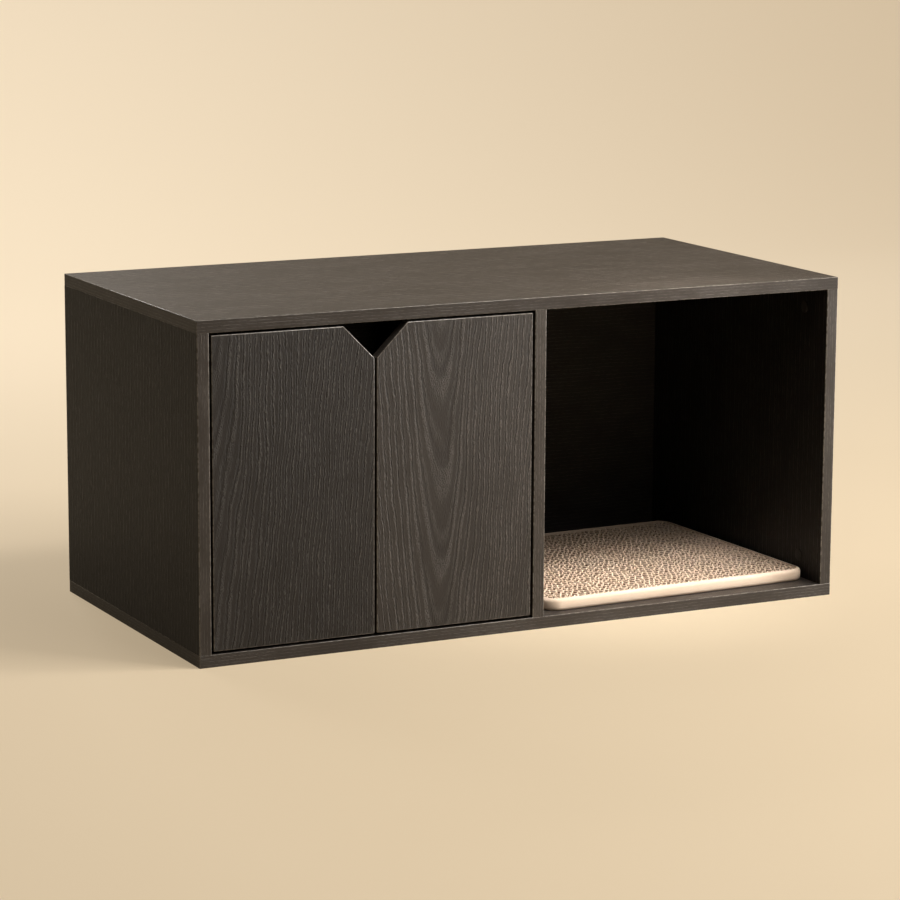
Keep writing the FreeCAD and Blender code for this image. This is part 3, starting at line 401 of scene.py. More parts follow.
def pull_and_round(bm, flats, sweep, centre, arris, inside=False):
    """Extrudes flat faces along sweep and rounds the sharp corners of the walls that show."""
    pulled = bmesh.ops.extrude_face_region(bm, geom=flats, use_keep_orig=True)["geom"]
    bmesh.ops.translate(bm, verts=points_in(pulled), vec=sweep)
    bmesh.ops.recalc_face_normals(bm, faces=bm.faces)
    side = -1 if inside else 1
    along = sweep.normalized()
    walls = [f for f in bm.faces if abs(f.normal.dot(along)) < 0.1
             and side * f.normal.dot(f.calc_center_median() - centre) > 1e-6]
    corners = {e for f in walls for e in f.edges if e.calc_face_angle(0) > math.radians(30)}
    round_edges(bm, corners, arris)


def round_edges(bm, edges, arris):
    """Follows each strip with its grain, rounds the edges in the paler arris finish, and paints a
    highlight on those that face up.
    """
    grain_by_run(bm)
    bmesh.ops.bevel(bm, geom=list(edges), offset=arris, affect="EDGES", segments=3,
                    profile=0.5, material=SCRAPED_AND_HIGHLIGHT, clamp_overlap=True)
    bm.normal_update()
    # Arrises that face up are painted brighter: a painted highlight where the light falls.
    for face in bm.faces:
        if face.material_index == SCRAPED_AND_HIGHLIGHT and face.normal.z > 0.2:
            face.material_index = UP_HIGHLIGHT


# %% [markdown]
# The bands carry the same film as the boards, with finer and straighter grain that follows
# each strip. Three finishes do for all strips, one for each axis the strips run along. A
# fourth is for the rounded arrises, a glossier line the scraper has laid bare, painted paler
# partly as a highlight, and a fifth for those that face up, painted paler still as a
# highlight where the light falls on them.

# %% Finishes of the bands
def band_finish(name, across, along, seed):
    return board_finish(name, across, along, seed, pitch=4.5, contrast=0.8, raised=0.25,
                        painted_light_tint=1.02, rough=0.44, warp=0.25)


# A glossy arris finish whose paler colour is partly the scraped edge, partly a painted highlight.
def arris_highlight_finish(name, dull, bright):
    finish = Finish(name, roughness=0.25, level=0.8)
    specks = finish.cloud(finish.place_mm(0.12, 0.12, 0.12))
    colour = finish.blend(specks.ramp(0.35, 0.65), dull, bright)
    return finish.paint(colour, specks * 0.15 + 0.2, specks, 0.02 * MM)


BAND_FINISHES = [band_finish("band_along_x", "y and z", "x", 51.0),
                 band_finish("band_along_y", "z and x", "y", 53.0),
                 band_finish("band_along_z", "x and y", "z", 57.0),
                 arris_highlight_finish("band_scraped_highlight", (92, 86, 79), (134, 126, 116)),
                 arris_highlight_finish("band_up_highlight", (104, 97, 89), (150, 141, 130))]
print(len(BAND_FINISHES), "finishes for the bands")

# %% [markdown]
# The two long panels have a strip on the front edge and on both ends, and none behind. The
# outline is drawn one strip too deep at the rear, so that the ring's rear side can be thrown
# away and the ends trimmed back to the board.

# %% Bands of the top and bottom panels
low, high = cad_box
top_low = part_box("top_edge_bands")[0].z
bottom_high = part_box("bottom_edge_bands")[1].z


def panel_bands(name, z0, z1, node):
    """Front strip and both end strips of a full-width panel, with mitred corners."""
    bm = bmesh.new()
    rear = high.y + BAND
    face = outline_face(bm, [(low.x, low.y, z0), (high.x, low.y, z0), (high.x, rear, z0),
                             (low.x, rear, z0)])
    centre = Vector((0, 0, (z0 + z1) / 2))
    rim = rim_of(bm, face, BAND)
    rear_strip = [f for f in rim if f.calc_center_median().y > high.y - BAND / 2]
    bmesh.ops.delete(bm, geom=rear_strip, context="FACES")
    for vert in bm.verts:
        vert.co.y = min(vert.co.y, high.y)
    pull_and_round(bm, bm.faces[:], Vector((0, 0, z1 - z0)), centre, ARRIS)
    return piece(name, bm, "carcass", BAND_FINISHES, [node])


panel_bands("top_bands", top_low, high.z, "top_edge_bands")
panel_bands("bottom_bands", low.z, bottom_high, "bottom_edge_bands")
print("bands of the long panels from", round(top_low, 4), "to", round(high.z, 4))

# %% [markdown]
# An upright shows only its front edge. Its strip is a plain bar, made by extruding its foot,
# and only the two long corners at its front are rounded: the other two are glued down.

# %% Bands of the three uprights
def upright_band(name, node):
    """A strip on the front edge of an upright board, both long corners rounded."""
    a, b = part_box(node)
    bm = bmesh.new()
    face = outline_face(bm, [(a.x, a.y, a.z), (b.x, a.y, a.z), (b.x, b.y, a.z), (a.x, b.y, a.z)])
    bmesh.ops.extrude_face_region(bm, geom=[face], use_keep_orig=True)
    top = [v for v in bm.verts if v not in face.verts]
    bmesh.ops.translate(bm, verts=top, vec=(0, 0, b.z - a.z))
    bmesh.ops.recalc_face_normals(bm, faces=bm.faces)
    corners = [e for e in bm.edges
               if all(abs(v.co.y - a.y) < 1e-6 for v in e.verts)
               and abs(e.verts[0].co.z - e.verts[1].co.z) > 0.1]
    round_edges(bm, corners, ARRIS)
    return piece(name, bm, "carcass", BAND_FINISHES, [node])


for node_name in ("left_side_edge_band", "right_side_edge_band", "divider_edge_band"):
    thing = upright_band(node_name.replace("_edge", ""), node_name)
    print(thing.name, len(thing.data.polygons), "faces")

# %% [markdown]
# A door is banded on all its edges, round the slanted corner as well. The two slants meet in
# a V where a finger pulls the doors open. An outline of five points gives the whole ring.

# %% Bands of the doors
NOTCH = 48.0 * MM    # leg of the corner that is cut off each door


def door_bands(side):
    """The ring round a door, with its slanted corner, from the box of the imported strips."""
    node = side + "_door_edge_bands"
    a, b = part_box(node)
    inner_x, outer_x, step = (b.x, a.x, -NOTCH) if side == "left" else (a.x, b.x, NOTCH)
    corners = [(outer_x, a.y, a.z), (inner_x, a.y, a.z), (inner_x, a.y, b.z - NOTCH),
               (inner_x + step, a.y, b.z), (outer_x, a.y, b.z)]
    bm = bmesh.new()
    band_ring(bm, outline_face(bm, corners), Vector((0, b.y - a.y, 0)))
    thing = piece(side + "_door_bands", bm, side + "_door", BAND_FINISHES,
                  [node])
    print(thing.name, "corner cut from", round(b.z - NOTCH, 4), "to", round(b.z, 4))


door_bands("left")
door_bands("right")

# %% [markdown]
# ## The band inside the cat entrance
# A strip is bent round the rounded hole in the divider. A flat face of the hole's size is
# given round corners with one bevel of its corner points, and then it is treated as the
# other rings are, only that the inner wall is the one that shows.

# %% Entrance band
ENTRANCE_RADIUS = 75.0 * MM


def entrance_band():
    a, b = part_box("entrance_edge_band")
    bm = bmesh.new()
    face = rounded_face(bm, [(a.x, a.y, a.z), (a.x, b.y, a.z), (a.x, b.y, b.z),
                             (a.x, a.y, b.z)], ENTRANCE_RADIUS)
    band_ring(bm, face, Vector((b.x - a.x, 0, 0)), 0.5 * MM, inside=True)
    return piece("entrance_band", bm, "carcass", BAND_FINISHES,
                 ["entrance_edge_band"])


print(entrance_band().name, "radius", round(ENTRANCE_RADIUS, 4))

# %% [markdown]
# ## Scratching pad: the band round it
# A smooth pale strip of board is bent round the block of cardboard. Its outer corners are
# softly rounded above and below. It is made like the edge bands, from the pad's outline
# turned as the pad lies in the bay.

# %% Where the pad lies
PAD_LENGTH, PAD_WIDTH, PAD_RIM = 458.0 * MM, 408.0 * MM, 6.0 * MM
PAD_CORNER, PAD_TURN = 24.0 * MM, math.radians(2.0)
rim_low, rim_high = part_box("scratch_pad_rim")
pad_middle = (rim_low + rim_high) / 2
pad_place = (Matrix.Translation((pad_middle.x, pad_middle.y, 0))
             @ Matrix.Rotation(PAD_TURN, 4, "Z"))
print("pad middle", [round(v, 4) for v in pad_middle],
      "height", round(rim_high.z - rim_low.z, 4))

# %% [markdown]
# Cardboard is pale at the torn fibres on top and browner further down. The flutes' colour turns
# from pale to dark brown with the depth below the rim: partly the cardboard's own colour, partly
# painted shade down in the flutes. The rim is smooth board with short fibres along it.

# %% Cardboard finishes
def rim_finish():
    """Smooth pale board, slightly mottled."""
    finish = Finish("pad_rim_board", roughness=0.62, level=0.3)
    fibres = finish.cloud(finish.place_mm(0.16, 0.16, 1.6), 3.0)
    tone = finish.cloud(finish.place_mm(0.02, 0.02, 0.05))
    colour = finish.blend(fibres.ramp(0.35, 0.65) * 0.4, (244, 220, 196), (232, 203, 174))
    colour = finish.blend(tone.ramp(0.4, 0.7) * 0.35, colour, (236, 207, 177))
    return finish.paint(colour, None, fibres, 0.05 * MM)


def flute_finish():
    """Cardboard strips: pale torn fibres on their upper ends, darker brown with depth, partly
    painted shade.
    """
    finish = Finish("fluted_cardboard", roughness=0.85, level=0.2)
    depth = (rim_high.z - 0.5 * MM) * 1000 - finish.z
    fibres = finish.cloud(finish.place_mm(0.9, 0.9, 0.9))
    patches = finish.cloud(finish.point(finish.x * 0.02, finish.y * 0.02, 0.0))
    pale = finish.blend(fibres.ramp(0.35, 0.65), (240, 212, 184), (253, 233, 211))
    pale = finish.blend(patches.ramp(0.35, 0.65) * 0.3, pale, (220, 193, 160))
    # Dark brown with depth below the rim: partly the board's own colour, partly painted shade in
    # the flutes.
    colour = finish.blend(depth.ramp(1.0, 3.2), pale, (132, 92, 60))
    return finish.paint(colour, None, fibres, 0.2 * MM)


RIM_FINISH, FLUTE_FINISH = rim_finish(), flute_finish()
print(RIM_FINISH.name, "and", FLUTE_FINISH.name)


# %% Rim
def pad_rim():
    """The band round the pad, made lying square and then turned into its place."""
    half_x, half_y, z0 = PAD_LENGTH / 2, PAD_WIDTH / 2, rim_low.z
    bm = bmesh.new()
    face = rounded_face(bm, [(-half_x, -half_y, z0), (half_x, -half_y, z0),
                             (half_x, half_y, z0), (-half_x, half_y, z0)], PAD_CORNER)
    height = Vector((0, 0, rim_high.z - z0))
    centre = face.calc_center_median() + height / 2
    pull_and_round(bm, rim_of(bm, face, PAD_RIM), height, centre, PAD_RIM * 0.8)
    for part in bm.faces:
        part.material_index = 0
    bmesh.ops.transform(bm, matrix=pad_place, verts=bm.verts)
    return piece("pad_rim", bm, "scratch_pad", [RIM_FINISH], ["scratch_pad_rim"])


print(pad_rim().name, "width", round(PAD_RIM, 4))

# %% [markdown]
# ## Scratching pad: the flutes
# The block is many strips of corrugated cardboard glued face to face and stood on edge, so
# that the cat's claws meet the open ends of the flutes. Each strip is a flat liner with a
# wavy sheet against it. The wave is one edge that swings from liner to liner in uneven
# steps, as claws and glue leave it. It is pulled down to the depth that shows, and given
# its thickness at the end.

# %% One strip of flutes
FLUTE = 4.1 * MM             # half a flute's pitch
STRIP_PITCH = 11.4 * MM      # from strip to strip
SHEET = 1.7 * MM             # thickness of the torn paper
FLUTE_DEPTH = 7.0 * MM       # how deep the flutes go before the slab below
STEPS, LINER_STEPS = 5, 110  # straight pieces in half a flute, and in a liner
PLAY = 1.2 * MM              # between the sheets and the rim
LINER_DROP = 1.5 * MM        # a liner's top edge below the flutes'
core_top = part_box("scratch_pad_core")[1].z
HALF_X, HALF_Y = PAD_LENGTH / 2 - PAD_RIM, PAD_WIDTH / 2 - PAD_RIM
shake = random.Random(7)


def reach_at(y):
    """Half the length of the block at a distance y from its middle, inside its corners."""
    into = abs(y) - (HALF_Y - PAD_CORNER + PAD_RIM)
    radius = PAD_CORNER - PAD_RIM
    return HALF_X - radius + math.sqrt(max(radius ** 2 - max(into, 0.0) ** 2, 0.0))


def run_edge(bm, points, y):
    """A run of edges through points given as x, distance from y, and drop below the top."""
    last = None
    for x, bend, drop in points:
        side = max(PLAY - HALF_Y, min(HALF_Y - PLAY, y + bend))
        vert = bm.verts.new((x, side, core_top - drop))
        if last:
            bm.edges.new((last, vert))
        last = vert


def liner_edge(bm, y):
    """The flat sheet between two strips, whose top edge is worn lower than the flutes'."""
    reach = reach_at(y) - PLAY
    points = [(-reach + 2 * reach * i / LINER_STEPS, shake.uniform(-0.3, 0.3) * MM,
               LINER_DROP + shake.uniform(0, 0.8) * MM) for i in range(LINER_STEPS + 1)]
    run_edge(bm, points, y)


def flute_edge(bm, y):
    """The wavy sheet of a strip: it swings from liner to liner, more or less evenly."""
    reach = reach_at(y) - PLAY
    x, side, points = -reach - shake.uniform(0, FLUTE), 1, []
    start = shake.uniform(0.25, 0.5) * STRIP_PITCH
    while x < reach:
        length = FLUTE * shake.uniform(0.45, 1.65)
        end = -side * shake.uniform(0.2, 0.5) * STRIP_PITCH
        for step in range(STEPS):
            share = step / STEPS
            eased = (1 - math.cos(share * math.pi)) / 2
            place = x + length * share
            if -reach <= place <= reach:
                points.append((place, start + (end - start) * eased, shake.uniform(0, 0.5) * MM))
        x, side, start = x + length, -side, end
    run_edge(bm, points, y)


def flute_block(name, first, count, replaced):
    """Some rows of flutes as one piece, between two rows of the pad."""
    bm = bmesh.new()
    for row in range(first, first + count):
        y = -HALF_Y + STRIP_PITCH * (row + 0.5)
        flute_edge(bm, y)
        if row:
            liner_edge(bm, y - STRIP_PITCH / 2)
    pulled = bmesh.ops.extrude_edge_only(bm, edges=bm.edges)["geom"]
    bmesh.ops.translate(bm, verts=points_in(pulled),
                        vec=(0, 0, -FLUTE_DEPTH))
    bmesh.ops.solidify(bm, geom=bm.faces[:], thickness=SHEET)
    bmesh.ops.transform(bm, matrix=pad_place, verts=bm.verts)
    thing = piece(name, bm, "scratch_pad", [FLUTE_FINISH], replaced, False)
    print(name, len(thing.data.polygons), "faces")


ROWS = int((2 * HALF_Y - 1 * MM) / STRIP_PITCH)
flute_block("pad_flutes_front", 0, ROWS // 2, ["scratch_pad_core"])
flute_block("pad_flutes_rear", ROWS // 2, ROWS - ROWS // 2, [])


# %% Floor of the pad
def pad_floor():
    """The block below the flutes that show: a slab with the pad's round corners."""
    bm = bmesh.new()
    z0, z1 = rim_low.z, core_top - FLUTE_DEPTH
    rounded_face(bm, [(-HALF_X, -HALF_Y, z0), (HALF_X, -HALF_Y, z0), (HALF_X, HALF_Y, z0),
                      (-HALF_X, HALF_Y, z0)], PAD_CORNER - PAD_RIM)
    pulled = bmesh.ops.extrude_face_region(bm, geom=bm.faces[:], use_keep_orig=True)["geom"]
    bmesh.ops.translate(bm, verts=points_in(pulled),
                        vec=(0, 0, z1 - z0))
    bmesh.ops.transform(bm, matrix=pad_place, verts=bm.verts)
    return piece("pad_floor", bm, "scratch_pad", [FLUTE_FINISH], [])


print(pad_floor().name, "up to", round(core_top - FLUTE_DEPTH, 4))

# %% [markdown]
# ## Metal and plastic
# The hinges are nickel-plated pressed steel, the screws and bolts are zinc plated, the cams
# are die-cast zinc. Plated metal is never one flat grey: fine scratches from the press and
# cloudy patches change its gloss. The plastics are dark, with a fine moulded texture.

# %% Fittings' finishes
def metal_finish(name, colour, dull, rough, scratch=(3.0, 3.0, 0.2)):
    """Metal with fine scratches, whose gloss changes in cloudy patches."""
    finish = Finish(name, roughness=rough, metallic=1.0)
    scratches = finish.cloud(finish.place_mm(*scratch), 3.0)
    clouds = finish.cloud(finish.place_mm(0.12, 0.12, 0.12))
    painted = finish.blend(clouds.ramp(0.35, 0.7) * 0.6, colour, dull)
    roughness = scratches * 0.16 + clouds * 0.14 + (rough - 0.15)
    return finish.paint(painted, roughness, scratches, 0.015 * MM)


def plastic_finish(name, colour, worn, rough):
    """Moulded plastic with a fine spark and slightly worn patches."""
    finish = Finish(name, roughness=rough, level=0.4)
    spark = finish.cloud(finish.place_mm(2.5, 2.5, 2.5))
    clouds = finish.cloud(finish.place_mm(0.1, 0.1, 0.1))
    painted = finish.blend(clouds.ramp(0.4, 0.7) * 0.5, colour, worn)
    return finish.paint(painted, spark * 0.12 + (rough - 0.06), spark, 0.03 * MM)


def dowel_finish():
    finish = Finish("dowel_beech", roughness=0.6, level=0.3)
    flecks = finish.cloud(finish.place_mm(2.0, 2.0, 0.15))
    colour = finish.blend(flecks.ramp(0.4, 0.65), (205, 172, 130), (183, 146, 104))
    return finish.paint(colour, None, flecks, 0.05 * MM)


NICKEL = metal_finish("hinge_nickel", (198, 194, 187), (172, 168, 162), 0.30)
ZINC = metal_finish("screw_zinc", (188, 189, 190), (158, 160, 163), 0.34)
CAST = metal_finish("cam_zinc", (160, 160, 160), (128, 129, 131), 0.48, (1.2, 1.2, 1.2))
FERRITE = plastic_finish("magnet_ferrite", (42, 42, 44), (60, 60, 62), 0.6)
CASE = plastic_finish("catch_plastic", (44, 40, 37), (56, 51, 47), 0.5)
CAP = plastic_finish("cap_plastic", (38, 34, 30), (46, 41, 37), 0.5)
FITTINGS = {
    "cam_housings": CAST, "cam_bolts": ZINC, "cam_cover_caps": CAP, "joint_dowels": dowel_finish(),
    "hinge_mounting_plates": NICKEL, "hinge_arms": NICKEL, "hinge_plate_screws": ZINC,
    "hinge_arm_screws": ZINC, "catch_housings": CASE, "catch_magnets": FERRITE,
    "catch_pole_plates": ZINC, "catch_screws": ZINC,
}
for side in ("left_", "right_"):
    for part, material in (("hinge_cups", NICKEL), ("hinge_pins", ZINC), ("hinge_cup_screws", ZINC),
                           ("strike_plate", ZINC), ("strike_screw", ZINC)):
        FITTINGS[side + part] = material
finish_nodes(FITTINGS)

# %% [markdown]
# ## Screws and cover caps
# The screws are pan heads with a cross recess, so that a driver centres itself, and a rolled
# thread. The head is a disc cut along the recess's outlines, whose cross is pushed in; the
# thread is a toothed profile turned round. Every screw takes its seat from the plain one that
# it replaces. The caps that hide the cams are moulded discs with a ring round their edge.

# %% Where the plain ones sit
def solids_of(node_name):
    """The corners of each separate solid of a node, the solids in order of their place."""
    bm = bmesh.new()
    bm.from_mesh(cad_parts[node_name].data)
    bmesh.ops.transform(bm, matrix=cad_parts[node_name].matrix_world, verts=bm.verts)
    bmesh.ops.remove_doubles(bm, verts=bm.verts, dist=1e-6)
    left, solids = set(bm.verts), []
    while left:
        solid, edge_of_it = set(), [left.pop()]
        while edge_of_it:
            vert = edge_of_it.pop()
            solid.add(vert)
            near = {edge.other_vert(vert) for edge in vert.link_edges} & left
            left -= near
            edge_of_it.extend(near)
        solids.append([vert.co.copy() for vert in solid])
    bm.free()
    solids.sort(key=lambda solid: [min(co[i] for co in solid) for i in range(3)])
    return solids


def seat_of(solid, axis=None):
    """The outer end, direction, length, and the widest part's radius and height of a solid."""
    low = Vector([min(co[i] for co in solid) for i in range(3)])
    high = Vector([max(co[i] for co in solid) for i in range(3)])
    size, middle = high - low, (low + high) / 2
    if axis is None:
        axis = max(range(3), key=lambda i: size[i])
    out = Vector([float(i == axis) for i in range(3)])
    wide = max((co - middle - out * (co - middle).dot(out)).length for co in solid)
    head = [co[axis] for co in solid
            if (co - middle - out * (co[axis] - middle[axis])).length > wide * 0.8]
    if max(head) < high[axis] - 1e-5:
        out = -out
    return (middle + out * size[axis] / 2, out, size[axis], wide, max(head) - min(head))


# %% One screw, one cap
RECESS_ARM, RECESS_SLOT, RECESS_DEPTH = 0.58, 0.14, 0.72       # shares of the head
RIGHT_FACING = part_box("divider_panel")[0].x - 100.0 * MM       # caps left of this face right
THREAD_PITCH, THREAD_DEPTH, SHANK = 1.3 * MM, 0.42 * MM, 1.7 * MM


def head_of(radius, height, segments=28):
    """A pan head whose outer face lies at z = 0."""
    bm = bmesh.new()
    bmesh.ops.create_circle(bm, cap_ends=True, segments=segments, radius=radius)
    arm, slot = radius * RECESS_ARM, radius * RECESS_SLOT
    for axis in ((1, 0, 0), (0, 1, 0)):
        for cut in (-arm, -slot, slot, arm):
            bmesh.ops.bisect_plane(bm, geom=bm.verts[:] + bm.edges[:] + bm.faces[:],
                                   plane_co=Vector(axis) * cut, plane_no=axis)
    cross = []
    for face in bm.faces:
        x, y = [abs(v) for v in face.calc_center_median()[:2]]
        if min(x, y) < slot and max(x, y) < arm:
            cross.append(face)
    pushed = bmesh.ops.extrude_face_region(bm, geom=cross)["geom"]
    floor_verts = points_in(pushed)
    bmesh.ops.translate(bm, verts=floor_verts, vec=(0, 0, -height * RECESS_DEPTH))
    bmesh.ops.scale(bm, vec=(0.7, 0.7, 1), verts=floor_verts)
    rim = [edge for edge in bm.edges if edge.is_boundary]
    pulled = bmesh.ops.extrude_edge_only(bm, edges=rim)["geom"]
    low_verts = points_in(pulled)
    bmesh.ops.translate(bm, verts=low_verts, vec=(0, 0, -height))
    bmesh.ops.contextual_create(bm, geom=[edge for edge in bm.edges if edge.is_boundary])
    bmesh.ops.bevel(bm, geom=rim, offset=height * 0.4, affect="EDGES", segments=3, profile=0.5)
    return bm


def add_shank(bm, top, tip):
    """A threaded shank from top down to tip, turned from its toothed profile."""
    profile, z = [(0.0, top + 0.3 * MM), (SHANK - THREAD_DEPTH, top)], top
    while z > tip + 2 * THREAD_PITCH:
        profile += [(SHANK, z - THREAD_PITCH * 0.5), (SHANK - THREAD_DEPTH, z - THREAD_PITCH)]
        z -= THREAD_PITCH
    profile.append((0.0, tip))
    verts = [bm.verts.new((r, 0, level)) for r, level in profile]
    edges = [bm.edges.new(pair) for pair in zip(verts, verts[1:])]
    bmesh.ops.spin(bm, geom=verts + edges, axis=(0, 0, 1), cent=(0, 0, 0), angle=2 * math.pi,
                   steps=14, use_merge=True, use_duplicate=False)


def cap_of(radius, height):
    """A moulded cover cap with a ring round its edge, whose outer face lies at z = 0."""
    bm = bmesh.new()
    bmesh.ops.create_circle(bm, cap_ends=True, segments=48, radius=radius)
    face = bm.faces[:][0]
    pulled = bmesh.ops.extrude_face_region(bm, geom=[face], use_keep_orig=True)["geom"]
    low_verts = points_in(pulled)
    bmesh.ops.translate(bm, verts=low_verts, vec=(0, 0, -height))
    rim = [edge for edge in bm.edges if all(abs(v.co.z) < 1e-9 for v in edge.verts)]
    face = [f for f in bm.faces if all(abs(v.co.z) < 1e-9 for v in f.verts)][0]
    bmesh.ops.inset_region(bm, faces=[face], thickness=radius * 0.14, use_boundary=True)
    bmesh.ops.inset_region(bm, faces=[face], thickness=radius * 0.04, depth=-0.15 * MM,
                           use_boundary=True)
    bmesh.ops.bevel(bm, geom=rim, offset=height * 0.4, affect="EDGES", segments=3, profile=0.5)
    return bm


def placed(bm, part, seat, turn):
    """Adds a part to bm with its z axis along the seat's direction, turned about it."""
    end, out = seat[:2]
    facing = Vector((0, 0, 1)).rotation_difference(out).to_matrix().to_4x4()
    place = Matrix.Translation(end) @ facing @ Matrix.Rotation(turn, 4, "Z")
    bmesh.ops.transform(part, matrix=place, verts=part.verts)
    mesh = bpy.data.meshes.new("part")
    part.to_mesh(mesh)
    part.free()
    bm.from_mesh(mesh)
    bpy.data.meshes.remove(mesh)


# %% Screws and caps in their places
def screws(node_name, body):
    """A threaded screw for each plain one, every cross turned as its driver left it."""
    bm = bmesh.new()
    for solid in solids_of(node_name):
        seat = seat_of(solid)
        part = head_of(seat[3], seat[4])
        add_shank(part, -seat[4], -seat[2])
        placed(bm, part, seat, shake.uniform(0, math.pi / 2))
    return piece(node_name + "_cross", bm, body, [ZINC], [node_name])


def caps(node_name, axis, body):
    """Cover caps: those on the left side face right, the others face left."""
    bm = bmesh.new()
    for solid in solids_of(node_name):
        end, out, length, radius = seat_of(solid, axis)[:4]
        facing = Vector((1.0 if end.x < RIGHT_FACING else -1.0, 0, 0))
        middle = end - out * length / 2
        placed(bm, cap_of(radius, length), (middle + facing * length / 2, facing), 0.0)
    return piece(node_name + "_moulded", bm, body, [CAP], [node_name])


for node_name, body in (("hinge_plate_screws", "carcass"), ("hinge_arm_screws", "carcass"),
                        ("catch_screws", "carcass"), ("left_hinge_cup_screws", "left_door"),
                        ("right_hinge_cup_screws", "right_door"),
                        ("left_strike_screw", "left_door"), ("right_strike_screw", "right_door")):
    thing = screws(node_name, body)
    print(thing.name, len(solids_of(node_name)), "screws", len(thing.data.polygons), "faces")
thing = caps("cam_cover_caps", 0, "carcass")
print(thing.name, "faces", len(thing.data.polygons))

# %% [markdown]
# ## Floor, light and camera
# A plain pale floor runs up into a backdrop in one sweep, so no horizon shows in front. The
# paper itself takes the lamps' light and the cabinet's shadow. What makes it pale is a glow
# that is switched on for camera rays, and faintly for glossy ones, so it adds no light to
# the cabinet.

# %% Backdrop
REACH, SWEEP_START, SWEEP, SWEEP_STEPS = 9.0, 3.2, 2.0, 12     # metres, and a count


def backdrop():
    """A floor that curves up behind the cabinet, from one profile pulled sideways."""
    bm = bmesh.new()
    verts = [bm.verts.new((-REACH, y, 0.0)) for y in (-REACH, SWEEP_START)]
    for step in range(1, SWEEP_STEPS + 1):
        turn = math.pi / 2 * step / SWEEP_STEPS
        verts.append(bm.verts.new((-REACH, SWEEP_START + SWEEP * math.sin(turn),
                                   SWEEP - SWEEP * math.cos(turn))))
    verts.append(bm.verts.new((-REACH, SWEEP_START + SWEEP, REACH)))
    edges = [bm.edges.new(pair) for pair in zip(verts, verts[1:])]
    pulled = bmesh.ops.extrude_edge_only(bm, edges=edges)["geom"]
    bmesh.ops.translate(bm, verts=points_in(pulled), vec=(2 * REACH, 0, 0))
    mesh = bpy.data.meshes.new("backdrop")
    bm.to_mesh(mesh)
    bm.free()
    mesh.shade_smooth()
    finish = Finish("backdrop_paper", roughness=0.8, level=0.2)
    haze = finish.cloud(finish.place_mm(0.001, 0.001, 0.001))
    paper = finish.blend(haze.ramp(0.3, 0.7) * 0.25, (168, 153, 130), (163, 147, 123))
    seen = finish.node("ShaderNodeLightPath", {}, output="Is Camera Ray")
    shine = finish.node("ShaderNodeLightPath", {}, output="Is Glossy Ray")
    rise = (finish.y * 0.001).ramp(-0.5, 3.0)
    right = (finish.x * 0.001).ramp(-3.5, 0.5)
    # The wall's glow is paler at the left and darker to the right: a painted falloff of the light.
    wall = finish.blend((finish.x * 0.001).ramp(0.5, 5.0), (211, 195, 170), (199, 179, 150))
    glow = finish.blend(rise, (165, 148, 122), wall)
    glow = finish.blend(seen + shine * (right * 0.45 + 0.02), (0, 0, 0), glow)
    finish.tree.links.new(glow.socket, finish.shader.inputs["Emission Color"])
    finish.shader.inputs["Emission Strength"].default_value = 1.0
    finish.paint(paper)
    mesh.materials.append(finish.material)
    thing = bpy.data.objects.new("backdrop", mesh)
    bpy.context.scene.collection.objects.link(thing)


backdrop()
print("backdrop", 2 * REACH, "m wide")

# %% [markdown]
# The light is five soft panels: a key high at the front, one at the right that makes the
# front lighter towards that end, one above for the top, one behind that draws the top's rear
# edge, and a small narrow one over the bay, which reaches the near part of the pad but not
# the back of the bay.

# %% Lights
WARM = (1.0, 0.975, 0.945)
NARROW = math.radians(40)        # beam of the small panel over the bay


def panel_light(name, place, target, width, height, power):
    """A soft rectangular light that faces a point."""
    lamp = bpy.data.lights.new(name, "AREA")
    lamp.shape, lamp.size, lamp.size_y = "RECTANGLE", width, height
    lamp.energy, lamp.color = power, WARM
    thing = bpy.data.objects.new(name, lamp)
    thing.location = place
    thing.rotation_mode = "QUATERNION"
    thing.rotation_quaternion = (Vector(target) - Vector(place)).to_track_quat("-Z", "Y")
    bpy.context.scene.collection.objects.link(thing)
    return lamp


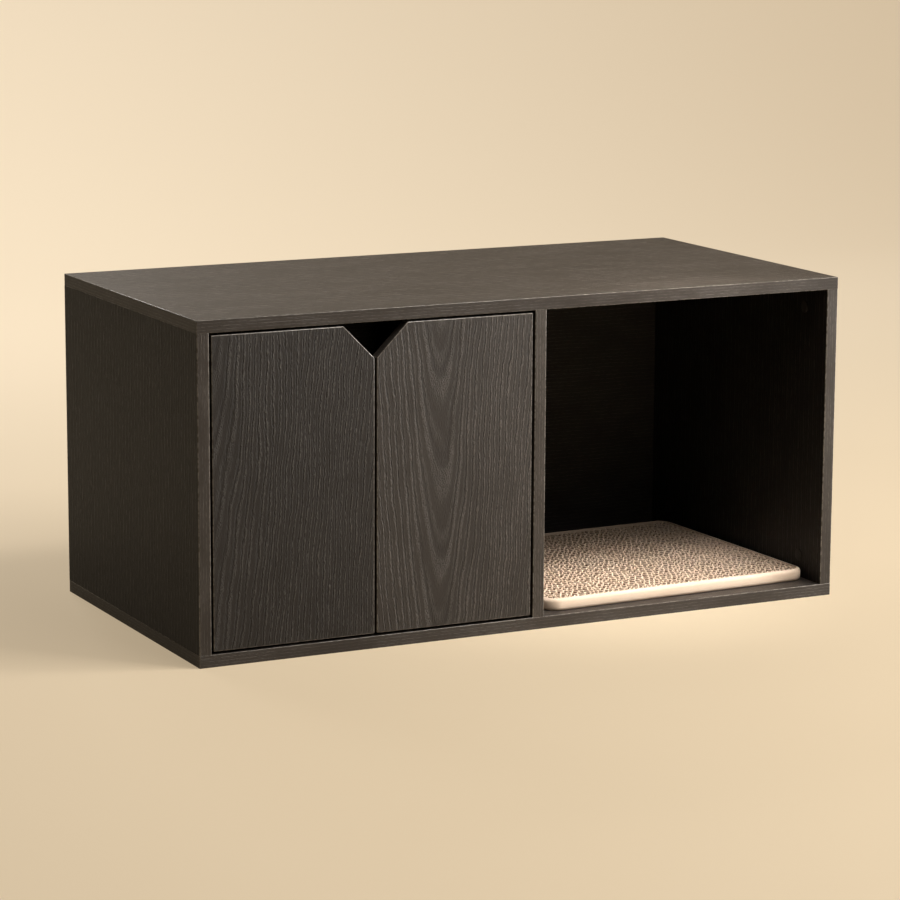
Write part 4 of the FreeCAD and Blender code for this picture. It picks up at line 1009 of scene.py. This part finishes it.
panel_light("key_panel", (0.9, -2.7, 3.0), (0.1, 0, 0.2), 2.0, 1.2, 36)
panel_light("right_panel", (2.7, -1.3, 0.9), (0.2, 0, 0.25), 0.8, 1.5, 76)
panel_light("back_panel_light", (-0.6, 4.2, 2.7), (0, 0, 0.4), 2.4, 0.9, 74)
panel_light("crown_panel", (1.2, -1.4, 3.1), (0.2, -0.2, 0.3), 1.2, 0.7, 76)
bay_lamp = panel_light("bay_panel", (0.3, -0.62, 1.05), (0.2, -0.12, 0.04), 0.3, 0.2, 0.52)
bay_lamp.spread = NARROW

world = bpy.data.worlds.new("studio")
bpy.context.scene.world = world
world.use_nodes = True
sky = world.node_tree.nodes["Background"]
sky.inputs["Color"].default_value = linear((232, 226, 214))
sky.inputs["Strength"].default_value = 0.035
print(len(bpy.data.lights), "panels and a faint even light")

# %% [markdown]
# The camera stands where one was fitted to the cabinet's corners in the photograph, far off
# and with a long lens, so that upright edges stay nearly upright. It is turned by three
# angles: to the right, down, and a little about its own line of sight.

# %% Camera
CAMERA_PLACE = Vector((-2.2302, -4.4291, 1.1770))
YAW, DIP, ROLL = math.radians(26.718), math.radians(10.892), math.radians(0.277)
FOCAL, SENSOR = 133.11, 36.0     # millimetres


def make_camera():
    """The camera as it was fitted to the cabinet's corners in the photograph."""
    ahead = Vector((math.sin(YAW) * math.cos(DIP), math.cos(YAW) * math.cos(DIP),
                    -math.sin(DIP)))
    level = Vector((math.cos(YAW), -math.sin(YAW), 0))
    up = level.cross(ahead)
    right = level * math.cos(ROLL) + up * math.sin(ROLL)
    up = up * math.cos(ROLL) - level * math.sin(ROLL)
    camera = bpy.data.objects.new("camera", bpy.data.cameras.new("camera"))
    camera.data.lens, camera.data.sensor_width = FOCAL, SENSOR
    axes = Matrix((right, up, -ahead)).transposed().to_4x4()
    camera.matrix_world = Matrix.Translation(CAMERA_PLACE) @ axes
    camera.data.clip_end = 60.0
    bpy.context.scene.collection.objects.link(camera)
    bpy.context.scene.camera = camera


make_camera()
print("camera at", [round(v, 3) for v in CAMERA_PLACE], "lens", FOCAL)
bpy.context.scene.view_settings.view_transform = "Standard"
